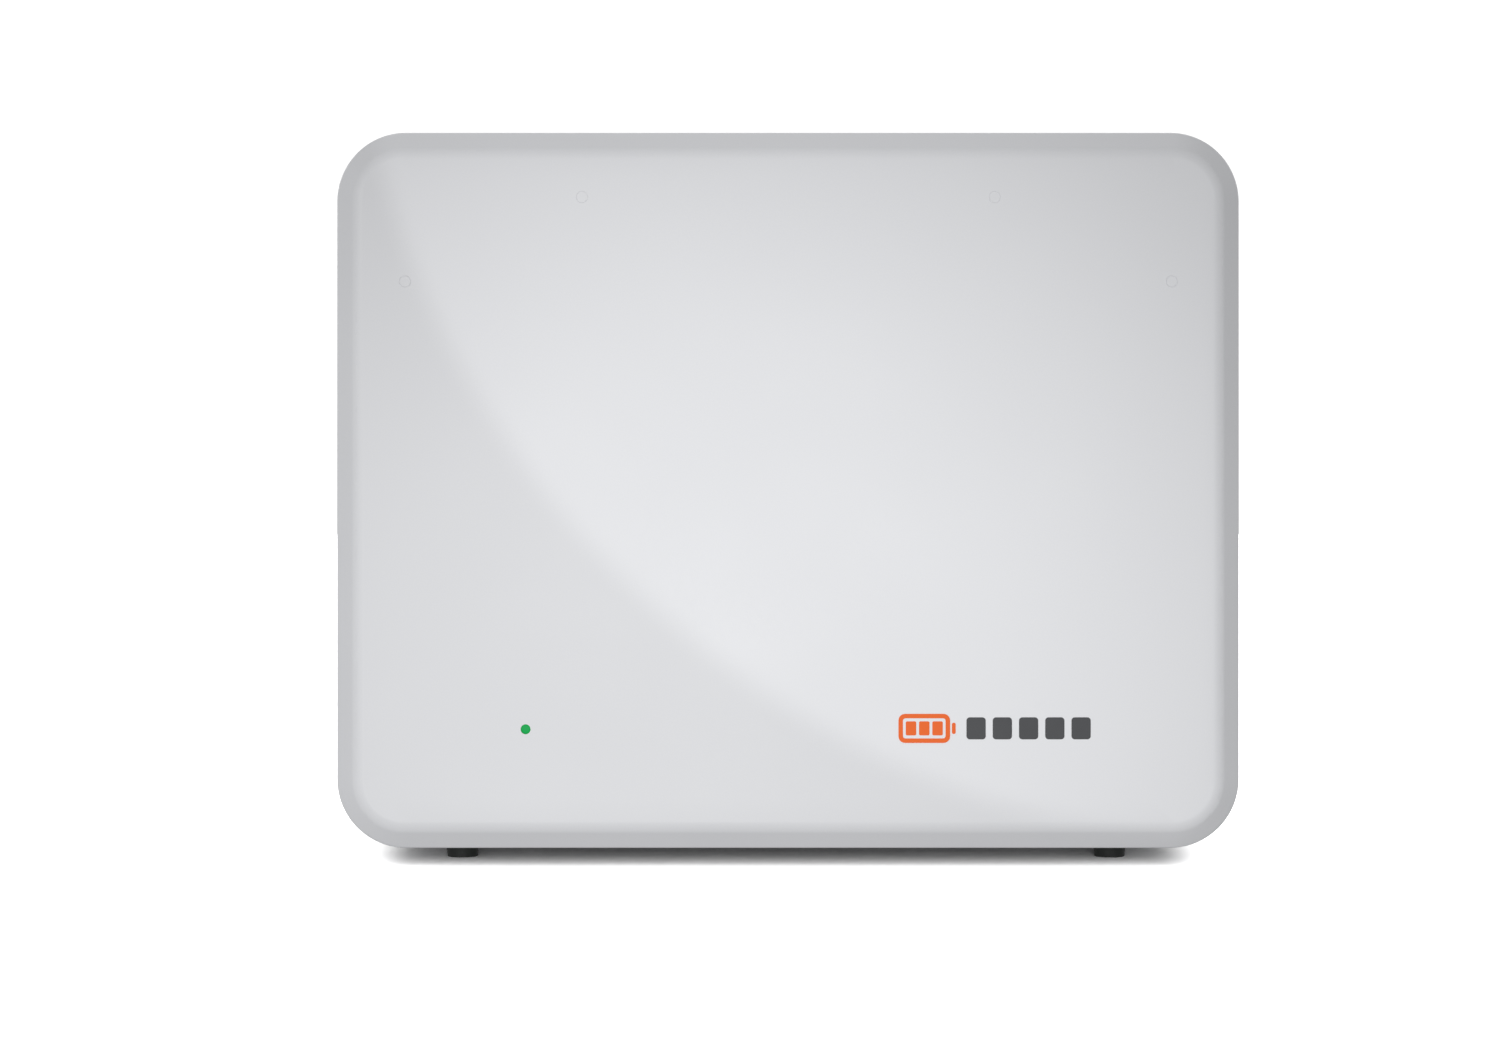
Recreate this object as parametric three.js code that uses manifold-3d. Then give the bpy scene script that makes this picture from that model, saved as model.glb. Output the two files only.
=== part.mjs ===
// A wall battery unit: eight lithium iron phosphate cells, their management board and a small grid
// inverter in a sheet-metal pan, under a pull-off moulded cover. It stands on four rubber feet or
// hangs on a steel wall plate.
//
// Millimetres, +Z up. The origin is on the floor under the middle of the unit, the front faces -Y
// and the wall is at +Y.

import * as THREE from "three";
import { mergeVertices } from "three/addons/utils/BufferGeometryUtils.js";
import Module from "manifold-3d";

const wasm = await Module();
wasm.setup();

// ---------------------------------------------------------------- driving dimensions

const WIDTH = 390;
const DEPTH = 220;
const FRONT = -DEPTH / 2;
const WALL_Y = DEPTH / 2;
const BODY_BOTTOM = 10;
const BODY_HEIGHT = 310;
const BODY_TOP = BODY_BOTTOM + BODY_HEIGHT;
const BODY_MID = BODY_BOTTOM + BODY_HEIGHT / 2;
const GAP = 0.3; // between pieces that touch

// Cover: a shell open at the back, with a 45 degree bevel round a slightly crowned face.
const COVER = {
  back: 40,
  wall: 3,
  draft: 1.5, // how much each side leans in from the back rim to the bevel
  corner: 31,
  bevel: 9.1,
  bevelBlend: 3, // tangent length of the soft edge between bevel and face
  edgeBlend: 0.9,
  crown: 1.5,
  cornerSteps: 6,
};
const BEVEL_EDGE_Y = FRONT + COVER.crown + COVER.bevel;

const COVER_VENT = { rows: [-50, -38], halfLength: 16, width: 4 };

// Pan: the metal tray that carries everything.
const PAN = {
  halfWidth: 181,
  bottom: 16,
  top: 308,
  front: -65.7,
  back: 96,
  sheet: 2,
  topCorner: 6,
  lowCorner: 14,
};
const PAN_MID = (PAN.top + PAN.bottom) / 2;
const PAN_HALF_HEIGHT = (PAN.top - PAN.bottom) / 2;
const PAN_INSIDE = PAN.halfWidth - PAN.sheet;

const PAN_VENT = { topRows: [64, 76], lowRow: 20, halfLength: 15, width: 4 };

// Shelf across the pan, which the battery module stands on.
const SHELF = { z: 104.2, front: -50, back: 58 };

// Slots in the trim frame, which let the warm air out between the cover and the pan.
const TRIM_SLOT = { topLow: 310.5, topHalf: 18, sideX: 186.2, sideHalf: 16, width: 4 };

// Front frame and clear screen that close the pan.
const FRAME = { front: -68, back: -66, side: 24, topStrip: 24, bottomStrip: 14 };
const SCREEN = { front: -70.3, back: -68.3, inset: 3 };
const FRAME_SCREW = { x: 169, zLow: 28, zHigh: 296, radius: 2, headRadius: 4, head: 2.6 };

// Cover posts, which push into rubber grommets in the front frame.
const POSTS = [
  { x: -88, z: 290 },
  { x: 88, z: 290 },
  { x: -163.5, z: 254 },
  { x: 163.5, z: 254 },
];
const POST = { radius: 4.5, shoulderY: -74, spigot: 2.4, tipY: -62 };
const GROMMET = { bore: 2.7, neck: 4.5, flange: 6.5, lip: 2 };

// Status light.
const LIGHT = { x: -112, z: 63, hole: 2.3, lens: 2.1, recess: 0.6, flange: 4.5, pipe: 2.5 };

// Cells, in two columns of four, with their terminals forward.
const CELL = { width: 171, height: 43.8, depth: 111, front: -54, rows: 4, pitch: 45.3 };
const CELL_COLUMN_X = 88;
const CELL_FIRST_Z = 138.2;
const TERMINAL = { offset: 55, radius: 8, tall: 6 };
const BUSBAR = { back: -60.3, thick: 2, halfWidth: 9, headRadius: 6, head: 3.4 };
const MODULE_PLATE = { thick: 7.9, low: 108, high: 296.4, halfWidth: 173.5, front: -52, back: 55 };

// Feet and wall side.
const FOOT = { x: 146.5, frontY: -15, rearY: 80, topRadius: 7.9, tipRadius: 6.85, collar: 10 };
const FOOT_SLOT = { halfWidth: 10, front: -28 }; // in the cover, for the front feet to slide out of
const BUMPER = { x: 150, z: 50, radius: 11 };
const RAIL = { halfLength: 140, sheet: 2.5, top: 292, shelf: 262, hookY: 101.8, hookBottom: 242 };
const PLATE = { halfWidth: 130, bottom: 120, top: 325, lipY: 98.3, lipTop: 261.7, floor: 238 };
const PLATE_SLOTS = { x: 100, zLow: 150, zHigh: 304, long: 20, wide: 7 };

// Controls and connectors on the bare sides of the pan, behind the cover.
const SIDE_Y = 70;
const SWITCH = { z: 62, knobRadius: 18, plate: 24, bushHole: 11 };
const SOCKET = { zIn: 44, zOut: 88, flange: 16, barrel: 12, bore: 8.5, throat: 184, mouth: 192, rear: 156 };

// Where the leads end: the face of the isolator, the glands of the inverter, the fuse block.
const SWITCH_INNER_X = -PAN_INSIDE + 40 + 2 * GAP;
const INVERTER_GLAND = { y: 81.7, z: 107.6 };
const FUSE_LEAD_Z = 27;

// ---------------------------------------------------------------- materials

function finish(color, roughness, metalness = 0, extra = {}) {
  return new THREE.MeshStandardMaterial({ color, roughness, metalness, ...extra });
}

const MATERIAL = {
  cover: finish(0xd9dbde, 0.45),
  lens: finish(0x00a850, 0.25, 0, { emissive: 0x00a850, emissiveIntensity: 0.4 }),
  chassis: finish(0x5c6064, 0.6, 0.2),
  trim: finish(0x1d1f20, 0.55),
  rubber: finish(0x141615, 0.8),
  clear: finish(0xdfeaf0, 0.1, 0, { transparent: true, opacity: 0.3 }),
  zinc: finish(0xb9bdc2, 0.35, 0.9),
  aluminium: finish(0xc4c7ca, 0.4, 0.9),
  copper: finish(0xb87449, 0.35, 1),
  cellWrap: finish(0x2f5fa8, 0.4),
  board: finish(0x1c5a3c, 0.5),
  red: finish(0xb3201c, 0.5),
  black: finish(0x17181a, 0.5),
  grey: finish(0x7f8488, 0.5),
  orange: finish(0xe0701c, 0.5),
  insulator: finish(0xe6e2d6, 0.6),
};

// ---------------------------------------------------------------- geometry helpers

function solidOf(geometry) {
  const bare = geometry.index ? geometry.toNonIndexed() : geometry.clone();
  bare.deleteAttribute("normal");
  bare.deleteAttribute("uv");
  const merged = mergeVertices(bare, 1e-4);
  const corners = merged.index.array;
  const kept = [];
  for (let i = 0; i < corners.length; i += 3) {
    const [a, b, c] = corners.slice(i, i + 3);
    if (a !== b && b !== c && a !== c) kept.push(a, b, c);
  }
  return new wasm.Manifold(
    new wasm.Mesh({
      numProp: 3,
      vertProperties: merged.attributes.position.array,
      triVerts: new Uint32Array(kept),
    }),
  );
}

function geometryOf(solid) {
  const { vertProperties, triVerts } = solid.getMesh();
  const geometry = new THREE.BufferGeometry();
  geometry.setAttribute("position", new THREE.BufferAttribute(vertProperties, 3));
  geometry.setIndex(new THREE.BufferAttribute(triVerts, 1));
  return geometry;
}

// Joins the first group of geometries, then cuts the second group out of it.
function carve(joined, cutters = []) {
  let solid = solidOf(joined[0]);
  for (const piece of joined.slice(1)) solid = solid.add(solidOf(piece));
  for (const cutter of cutters) solid = solid.subtract(solidOf(cutter));
  return geometryOf(solid);
}

// The values from one to another, a step apart.
function steps(from, to, step) {
  return Array.from({ length: Math.round((to - from) / step) + 1 }, (_, i) => from + i * step);
}

function box(x0, x1, y0, y1, z0, z1) {
  const geometry = new THREE.BoxGeometry(x1 - x0, y1 - y0, z1 - z0);
  return geometry.translate((x0 + x1) / 2, (y0 + y1) / 2, (z0 + z1) / 2);
}

// Each axis names the directions that a drawing's right, up and depth take.
const AXES = {
  x: [new THREE.Vector3(0, 1, 0), new THREE.Vector3(0, 0, 1), new THREE.Vector3(1, 0, 0)],
  y: [new THREE.Vector3(1, 0, 0), new THREE.Vector3(0, 0, 1), new THREE.Vector3(0, -1, 0)],
  z: [new THREE.Vector3(1, 0, 0), new THREE.Vector3(0, 1, 0), new THREE.Vector3(0, 0, 1)],
};

// A drawing pushed through from one plane to another along an axis.
function prism(shape, axis, from, to, curveSegments = 4) {
  const depth = to - from;
  const geometry = new THREE.ExtrudeGeometry(shape, { depth, bevelEnabled: false, curveSegments });
  geometry.applyMatrix4(new THREE.Matrix4().makeBasis(...AXES[axis]));
  const shift = axis === "y" ? to : from;
  return geometry.translate(...["x", "y", "z"].map((a) => (a === axis ? shift : 0)));
}

function roundedRect(cx, cy, halfWidth, halfHeight, radius, topRadius = radius) {
  const shape = new THREE.Shape();
  const left = cx - halfWidth;
  const right = cx + halfWidth;
  const low = cy - halfHeight;
  const high = cy + halfHeight;
  shape.moveTo(left + radius, low);
  shape.lineTo(right - radius, low);
  shape.absarc(right - radius, low + radius, radius, -Math.PI / 2, 0);
  shape.lineTo(right, high - topRadius);
  shape.absarc(right - topRadius, high - topRadius, topRadius, 0, Math.PI / 2);
  shape.lineTo(left + topRadius, high);
  shape.absarc(left + topRadius, high - topRadius, topRadius, Math.PI / 2, Math.PI);
  shape.lineTo(left, low + radius);
  shape.absarc(left + radius, low + radius, radius, Math.PI, Math.PI * 1.5);
  return shape;
}

function polygon(points) {
  return new THREE.Shape(points.map(([x, y]) => new THREE.Vector2(x, y)));
}

function circle(cx, cy, radius) {
  return new THREE.Shape().absarc(cx, cy, radius, 0, Math.PI * 2);
}

// A turned piece about an axis: its profile is [radius, height] pairs in rising height.
function turned(profile, axis, at, segments = 16) {
  const points = profile.map(([radius, height]) => new THREE.Vector2(radius, height));
  const geometry = new THREE.LatheGeometry(points, segments);
  if (axis === "z") geometry.rotateX(Math.PI / 2);
  if (axis === "x") geometry.rotateZ(-Math.PI / 2);
  return geometry.translate(...at);
}

function rod(axis, at, radius, from, to, segments = 12) {
  const profile = [[0, from], [radius, from], [radius, to], [0, to]];
  return turned(profile, axis, at, segments);
}

function hexHead(axis, at, radius, from, to) {
  return rod(axis, at, radius, from, to, 6);
}

// A cable of round section along a smooth route through the given points.
function cable(points, radius, steps, sides = 8) {
  const route = new THREE.CatmullRomCurve3(points.map((p) => new THREE.Vector3(...p)));
  const section = new THREE.Shape().absarc(0, 0, radius, 0, Math.PI * 2);
  return new THREE.ExtrudeGeometry(section, {
    extrudePath: route,
    steps,
    curveSegments: sides / 2, // an arc takes two points for each
    bevelEnabled: false,
  });
}

// One ring of the rounded outline that is inset from the body's largest outline.
function outlineRing(inset, y) {
  const { corner, cornerSteps } = COVER;
  const halfWidth = WIDTH / 2 - inset;
  const halfHeight = BODY_HEIGHT / 2 - inset;
  const radius = Math.max(corner - inset, 6);
  const points = [];
  for (let quarter = 0; quarter < 4; quarter++) {
    const sx = quarter === 0 || quarter === 3 ? 1 : -1;
    const sz = quarter < 2 ? 1 : -1;
    for (let step = 0; step <= cornerSteps; step++) {
      const angle = ((quarter + step / cornerSteps) * Math.PI) / 2;
      const x = sx * (halfWidth - radius) + radius * Math.cos(angle);
      const z = BODY_MID + sz * (halfHeight - radius) + radius * Math.sin(angle);
      points.push([x, typeof y === "function" ? y(x, z) : y, z]);
    }
  }
  return points;
}

// A closed skin over rings that run from the front of a part to its back, or out and back again.
function skin(rings, frontMiddle, backMiddle) {
  const count = rings[0].length;
  const vertices = [...rings.flat(), frontMiddle, backMiddle];
  const front = vertices.length - 2;
  const back = vertices.length - 1;
  const faces = [];
  for (let i = 0; i < count; i++) {
    const next = (i + 1) % count;
    faces.push(front, i, next);
    for (let ring = 0; ring < rings.length - 1; ring++) {
      const a = ring * count + i;
      const b = ring * count + next;
      faces.push(a, a + count, b, b, a + count, b + count);
    }
    const last = (rings.length - 1) * count;
    faces.push(back, last + next, last + i);
  }
  const geometry = new THREE.BufferGeometry();
  geometry.setAttribute("position", new THREE.Float32BufferAttribute(vertices.flat(), 3));
  geometry.setIndex(faces);
  return geometry;
}

// A flat slab with the outline of the body, inset by a distance.
function slab(inset, from, to) {
  const rings = [outlineRing(inset, from), outlineRing(inset, to)];
  return skin(rings, [0, from, BODY_MID], [0, to, BODY_MID]);
}

// ---------------------------------------------------------------- cover

// The crowned face: nearest the viewer in its middle, and level along its edge.
function faceY(x, z) {
  const u = x / (WIDTH / 2);
  const v = (z - BODY_MID) / (BODY_HEIGHT / 2);
  return FRONT + COVER.crown * (1 - (1 - u * u) * (1 - v * v));
}

// Points along a rounded corner between two legs of a section, each leg cut back by its tangent.
function roundedCorner(before, corner, after, tangent, steps) {
  const [b, c, a] = [before, corner, after].map(([x, y]) => new THREE.Vector2(x, y));
  const start = c.clone().add(b.sub(c).setLength(tangent));
  const end = c.clone().add(a.sub(c).setLength(tangent));
  const curve = new THREE.QuadraticBezierCurve(start, c, end);
  return curve.getPoints(steps).map((p) => [p.x, p.y]);
}

function frontCover() {
  const { back, wall, draft, bevel, bevelBlend, edgeBlend, crown } = COVER;
  const rim = [0, back];
  const edge = [draft, BEVEL_EDGE_Y];
  const face = [draft + bevel, FRONT + crown];
  const section = [
    rim,
    ...roundedCorner(rim, edge, face, edgeBlend, 1),
    ...roundedCorner(edge, face, [face[0] + 20, face[1]], bevelBlend, 3),
  ];
  const miter = wall * Math.tan(Math.PI / 8);
  const insideSection = [
    [draft + bevel + miter, FRONT + crown + wall],
    [draft + wall, BEVEL_EDGE_Y + miter],
    [wall, back],
  ];
  const faceInsets = [45, 100];
  const insideFace = (x, z) => faceY(x, z) + wall;
  const rings = [
    ...faceInsets.map((inset) => outlineRing(inset, faceY)).reverse(),
    ...section.reverse().map(([inset, y]) => outlineRing(inset, y)),
    ...insideSection.reverse().map(([inset, y]) => outlineRing(inset, y)),
    ...faceInsets.map((inset) => outlineRing(inset, insideFace)),
  ];
  const shell = skin(rings, [0, FRONT, BODY_MID], [0, FRONT + wall, BODY_MID]);

  const posts = POSTS.map(({ x, z }) => {
    const root = faceY(x, z) + 1;
    const { radius, shoulderY, spigot, tipY } = POST;
    return turned(
      [
        [0, root],
        [radius, root],
        [radius, shoulderY],
        [spigot, shoulderY],
        [spigot, tipY - 1],
        [spigot - 1, tipY],
        [0, tipY],
      ],
      "y",
      [x, 0, z],
      12,
    );
  });

  const lightHole = rod("y", [LIGHT.x, 0, LIGHT.z], LIGHT.hole, FRONT - 5, FRONT + 10);
  const { halfWidth: slotHalf, front: slotFront } = FOOT_SLOT;
  const footSlots = [-FOOT.x, FOOT.x].map((x) =>
    box(x - slotHalf, x + slotHalf, slotFront, back + 5, BODY_BOTTOM - 5, BODY_BOTTOM + 5),
  );
  const vents = [];
  for (const x of steps(-105, 105, 42)) {
    for (const y of COVER_VENT.rows) {
      const { halfLength, width } = COVER_VENT;
      vents.push(box(x - halfLength, x + halfLength, y, y + width, BODY_BOTTOM - 5, BODY_BOTTOM + 6));
    }
  }
  return carve([shell, ...posts], [lightHole, ...footSlots, ...vents]);
}

function lightPipe() {
  const { x, z, lens, recess, flange, pipe } = LIGHT;
  const face = faceY(x, z) + recess;
  const wallBack = faceY(x, z) + COVER.wall + 0.5;
  return turned(
    [
      [0, face],
      [lens - 0.3, face],
      [lens, face + 0.3],
      [lens, wallBack],
      [flange, wallBack],
      [flange, wallBack + 1.5],
      [pipe, wallBack + 1.5],
      [pipe, -60],
      [0, -60],
    ],
    "y",
    [x, 0, z],
    12,
  );
}

// ---------------------------------------------------------------- pan, frame, screen and trim

function panOutline(inset) {
  const { halfWidth, lowCorner, topCorner } = PAN;
  const [low, top] = [lowCorner - inset, topCorner - inset];
  return roundedRect(0, PAN_MID, halfWidth - inset, PAN_HALF_HEIGHT - inset, low, top);
}

const FRAME_SCREWS = [-1, 1].flatMap((side) =>
  [FRAME_SCREW.zLow, FRAME_SCREW.zHigh].map((z) => ({ x: side * FRAME_SCREW.x, z })),
);

function basePan() {
  const { front, back, sheet, halfWidth, top, bottom } = PAN;
  const tray = prism(panOutline(0), "y", front, back, 2);
  const hollow = prism(panOutline(sheet), "y", front - 5, back - sheet, 2);
  const lugs = FRAME_SCREWS.map(({ x, z }) => {
    const out = Math.sign(x) * (halfWidth - 1);
    const inner = x - Math.sign(x) * 7;
    const zOut = z > PAN_MID ? top - 1 : bottom + 1;
    const zIn = z > PAN_MID ? z - 7 : z + 7;
    const [x0, x1] = [Math.min(out, inner), Math.max(out, inner)];
    const [z0, z1] = [Math.min(zOut, zIn), Math.max(zOut, zIn)];
    return box(x0, x1, front, front + 6, z0, z1);
  });
  const corners = prism(panOutline(0.5), "y", front - 1, front + 7, 2);
  const trimmedLugs = lugs.map((lug) => geometryOf(solidOf(lug).intersect(solidOf(corners))));
  const boardRails = [-160, -42].map((x) => box(x - 6, x + 6, -46, -44, bottom + 1, SHELF.z + 1));
  const reach = PAN_INSIDE + sheet / 2;
  const shelf = box(-reach, reach, SHELF.front, SHELF.back, SHELF.z, SHELF.z + sheet);
  const shell = carve([tray], [hollow]);

  const cuts = [
    ...FRAME_SCREWS.map(({ x, z }) => rod("y", [x, 0, z], FRAME_SCREW.radius + 0.2, -80, -55, 12)),
    rod("x", [0, SIDE_Y, SWITCH.z], SWITCH.bushHole, -halfWidth - 5, -halfWidth + 5),
    ...[SOCKET.zIn, SOCKET.zOut].map((z) =>
      rod("x", [0, SIDE_Y, z], SOCKET.barrel, halfWidth - 5, halfWidth + 5),
    ),
  ];
  const { topRows, lowRow, halfLength, width } = PAN_VENT;
  for (const x of steps(-120, 120, 40)) {
    for (const y of topRows) cuts.push(box(x - halfLength, x + halfLength, y, y + width, top - 4, top + 4));
    cuts.push(box(x - halfLength, x + halfLength, lowRow, lowRow + width, bottom - 4, bottom + 4));
  }
  return carve([shell, ...trimmedLugs, shelf, ...boardRails], cuts);
}

function frontFrame() {
  const { front, back, side, topStrip, bottomStrip } = FRAME;
  const outline = panOutline(0.2);
  const windowTop = PAN.top - topStrip;
  const windowBottom = PAN.bottom + bottomStrip;
  const windowMid = (windowTop + windowBottom) / 2;
  const windowHalf = (windowTop - windowBottom) / 2;
  outline.holes = [roundedRect(0, windowMid, PAN.halfWidth - side, windowHalf, 10)];
  const plate = prism(outline, "y", front, back, 2);
  const holes = [
    ...FRAME_SCREWS.map(({ x, z }) => rod("y", [x, 0, z], FRAME_SCREW.radius + 0.2, -80, -60, 12)),
    ...POSTS.map(({ x, z }) => rod("y", [x, 0, z], GROMMET.neck + GAP, -80, -60)),
  ];
  return carve([plate], holes);
}

function safetyScreen() {
  const { front, back, inset } = SCREEN;
  const plate = prism(panOutline(inset), "y", front, back, 2);
  const holes = [
    ...FRAME_SCREWS.map(({ x, z }) => rod("y", [x, 0, z], FRAME_SCREW.radius + 0.2, -80, -60, 12)),
    ...POSTS.map(({ x, z }) => rod("y", [x, 0, z], GROMMET.neck + GAP, -80, -60)),
    rod("y", [LIGHT.x, 0, LIGHT.z], 5, -80, -60),
  ];
  return carve([plate], holes);
}

function trimFrame() {
  const hollow = prism(panOutline(-GAP), "y", 0, 80, 2);
  const lip = slab(0, 40 + GAP, 44);
  const tongueInset = COVER.wall + 0.7;
  const tongue = slab(tongueInset, 33, 41);
  const slots = [];
  const { topLow, topHalf, sideX, sideHalf, width } = TRIM_SLOT;
  for (const x of steps(-135, 135, 45)) {
    slots.push(box(x - topHalf, x + topHalf, 20, 60, topLow, topLow + width));
  }
  for (const z of steps(60, 270, 42)) {
    for (const side of [-1, 1]) {
      const middle = side * sideX;
      slots.push(box(middle - width / 2, middle + width / 2, 20, 60, z - sideHalf, z + sideHalf));
    }
  }
  return carve([lip, tongue], [hollow, ...slots]);
}

function frameScrew({ x, z }) {
  const { radius, headRadius, head } = FRAME_SCREW;
  const seat = SCREEN.front - GAP;
  const body = turned(
    [
      [0, seat - head],
      [headRadius - 1, seat - head],
      [headRadius, seat - head + 1],
      [headRadius, seat],
      [radius - 0.1, seat],
      [radius - 0.1, seat + 10],
      [0, seat + 10],
    ],
    "y",
    [x, 0, z],
    12,
  );
  const slot = [
    box(x - 2.4, x + 2.4, seat - head - 1, seat - head + 1.2, z - 0.5, z + 0.5),
    box(x - 0.5, x + 0.5, seat - head - 1, seat - head + 1.2, z - 2.4, z + 2.4),
  ];
  return carve([body], slot);
}

function postGrommet({ x, z }) {
  const { bore, neck, flange, lip } = GROMMET;
  const front = SCREEN.front - GAP;
  const back = FRAME.back + GAP;
  return turned(
    [
      [bore, front - lip],
      [flange - 0.8, front - lip],
      [flange, front - lip + 0.8],
      [flange, front],
      [neck, front],
      [neck, back],
      [neck + 1.2, back],
      [neck + 0.4, back + 1.8],
      [bore, back + 1.8],
      [bore, front - lip],
    ],
    "y",
    [x, 0, z],
    12,
  );
}

// ---------------------------------------------------------------- battery module

function cell(x, z) {
  const { width, height, depth, front } = CELL;
  const can = prism(roundedRect(x, z, width / 2, height / 2, 2), "y", front, front + depth, 1);
  const { offset, radius, tall } = TERMINAL;
  const terminals = [-offset, offset].map((dx) =>
    rod("y", [x + dx, 0, z], radius, front - tall, front + 1, 12),
  );
  const pads = [-offset, offset].map((dx) =>
    box(x + dx - 15, x + dx + 15, front - 1.6, front + 1, z - 13, z + 13),
  );
  const vent = prism(roundedRect(x, z, 12, 7, 6.9), "y", front - 0.8, front + 1, 2);
  return carve([can, ...pads, ...terminals, vent]);
}

// A link plate with a bolt head over each terminal and a raised bend between them.
function busbar([xa, za], [xb, zb]) {
  const { back, thick, halfWidth, headRadius, head } = BUSBAR;
  const front = back - thick;
  const cx = (xa + xb) / 2;
  const cz = (za + zb) / 2;
  const upright = xa === xb;
  const reach = Math.hypot(xb - xa, zb - za) / 2 + halfWidth;
  const [hx, hz] = upright ? [halfWidth, reach] : [reach, halfWidth];
  const strip = prism(roundedRect(cx, cz, hx, hz, 3), "y", front, back, 1);
  const bend = upright
    ? box(cx - halfWidth, cx + halfWidth, front - 1.6, front + 0.5, cz - 5, cz + 5)
    : box(cx - 5, cx + 5, front - 1.6, front + 0.5, cz - halfWidth, cz + halfWidth);
  const groove = upright
    ? box(cx - 20, cx + 20, front + 0.4, back + 1, cz - 3, cz + 3)
    : box(cx - 3, cx + 3, front + 0.4, back + 1, cz - 20, cz + 20);
  const heads = [[xa, za], [xb, zb]].map(([x, z]) =>
    hexHead("y", [x, 0, z], headRadius, front - head, front + 0.5),
  );
  return carve([strip, bend, ...heads], [groove]);
}

function cellSpacer() {
  const { front, depth, rows, pitch } = CELL;
  const spineBottom = CELL_FIRST_Z - CELL.height / 2;
  const spineTop = spineBottom + rows * pitch - 1.5;
  const spine = box(-2, 2, front + 2, front + depth - 2, spineBottom, spineTop);
  const fins = [];
  for (let row = 1; row < rows; row++) {
    const z = CELL_FIRST_Z + (row - 0.5) * pitch;
    fins.push(box(-172, 172, front + 4, front + depth - 4, z - 0.45, z + 0.45));
  }
  return carve([spine, ...fins]);
}

function modulePlate(z) {
  const { thick, halfWidth, front, back } = MODULE_PLATE;
  const mid = (front + back) / 2;
  const plate = prism(roundedRect(0, mid, halfWidth, (back - front) / 2, 4), "z", z, z + thick, 1);
  const grooves = [-130, -70, 70, 130].map((x) =>
    box(x - 18, x + 18, front + 12, back - 12, z > PAN_MID ? z + 3 : z - 1, z > PAN_MID ? z + 9 : z + 4.9),
  );
  return carve([plate], grooves);
}

// A steel band round the module and its two end plates.
function tieBand() {
  const inner = MODULE_PLATE.halfWidth + GAP;
  const low = MODULE_PLATE.low - GAP;
  const high = MODULE_PLATE.high + MODULE_PLATE.thick + GAP;
  const sheet = 1.2;
  const outside = box(-inner - sheet, inner + sheet, -18, 22, low - sheet, high + sheet);
  const inside = box(-inner, inner, -19, 23, low, high);
  return carve([outside], [inside]);
}

// ---------------------------------------------------------------- electronics

function managementBoard() {
  const board = prism(roundedRect(-101, 63, 71, 39, 3), "y", -50, -48.4, 1);
  const parts = [
    box(-166, -146, -58, -49, 32, 46),
    box(-166, -146, -61, -49, 52, 62),
    box(-166, -146, -61, -49, 66, 76),
    box(-140, -126, -52, -49, 42, 56),
    box(-98, -74, -63, -49, 30, 50),
    box(-96, -80, -52.5, -49, 66, 82),
    box(-66, -50, -60, -49, 72, 92),
    box(-66, -50, -60, -49, 46, 66),
    box(-66, -42, -56, -49, 30, 38),
    box(-140, -100, -57, -49, 86, 94),
  ];
  const cans = [[-120, 36], [-108, 36], [-88, 92]].map(([x, z]) =>
    rod("y", [x, 0, z], 5, -61, -49, 12),
  );
  const feet = [-160, -42].flatMap((x) =>
    [33, 93].map((z) => rod("y", [x, 0, z], 3, -49, -46 - GAP, 8)),
  );
  return carve([board, ...parts, ...cans, ...feet]);
}

function statusLed() {
  const base = -50 - GAP;
  return turned(
    [
      [0, base - 7.5],
      [1.4, base - 7],
      [2.3, base - 5.6],
      [2.5, base - 4],
      [2.5, base - 1],
      [3, base - 1],
      [3, base],
      [0, base],
    ],
    "y",
    [LIGHT.x, 0, LIGHT.z],
    16,
  );
}

function fuseBlock() {
  const base = box(8, 52, -20, 20, 18 + GAP, 34);
  const fuse = rod("x", [0, 0, 46], 11, 14, 46, 20);
  const clips = [box(10, 16, -8, 8, 33, 50), box(44, 50, -8, 8, 33, 50)];
  return carve([base, fuse, ...clips]);
}

function switchBody() {
  const face = -PAN_INSIDE + GAP;
  const y = SIDE_Y;
  const z = SWITCH.z;
  const block = prism(roundedRect(y, z, 20, 20, 3), "x", face, face + 40, 1);
  const screws = [-14, 14].map((dz) => rod("x", [0, y, z + dz], 3.4, face + 39, face + 44, 12));
  const bush = rod("x", [0, y, z], 7, face - 3, face + 1);
  const bore = rod("x", [0, y, z], 4.4, face - 5, face + 12);
  return carve([block, ...screws, bush], [bore]);
}

function switchPlate() {
  const face = -PAN.halfWidth - GAP;
  const shape = roundedRect(SIDE_Y, SWITCH.z, SWITCH.plate, SWITCH.plate, 4);
  shape.holes = [circle(SIDE_Y, SWITCH.z, SWITCH.bushHole)];
  return prism(shape, "x", face - 1.4, face, 4);
}

// The knob turns about X. Its grip bar stands upright when the switch is on.
function switchKnob() {
  const disc = -PAN.halfWidth - 2;
  const y = SIDE_Y;
  const z = SWITCH.z;
  const base = turned(
    [
      [0, disc - 5],
      [SWITCH.knobRadius - 1.5, disc - 5],
      [SWITCH.knobRadius, disc - 3.5],
      [SWITCH.knobRadius, disc],
      [0, disc],
    ],
    "x",
    [0, y, z],
    24,
  );
  const grip = prism(roundedRect(y, z, 5, SWITCH.knobRadius - 1, 4), "x", disc - 11.5, disc - 4, 2);
  const shaft = rod("x", [0, y, z], 4, disc - 1, -PAN_INSIDE + 8);
  return carve([base, grip, shaft]);
}

function acSocket(z) {
  const { flange, barrel, bore, throat, mouth, rear } = SOCKET;
  const seat = PAN.halfWidth + GAP;
  return turned(
    [
      [0, rear],
      [7, rear],
      [barrel - 1, rear + 4],
      [barrel - 1, seat],
      [flange, seat],
      [flange, seat + 1.6],
      [barrel, seat + 3],
      [barrel, mouth],
      [bore, mouth],
      [bore, throat],
      [0, throat],
    ],
    "x",
    [0, SIDE_Y, z],
    18,
  );
}

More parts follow.
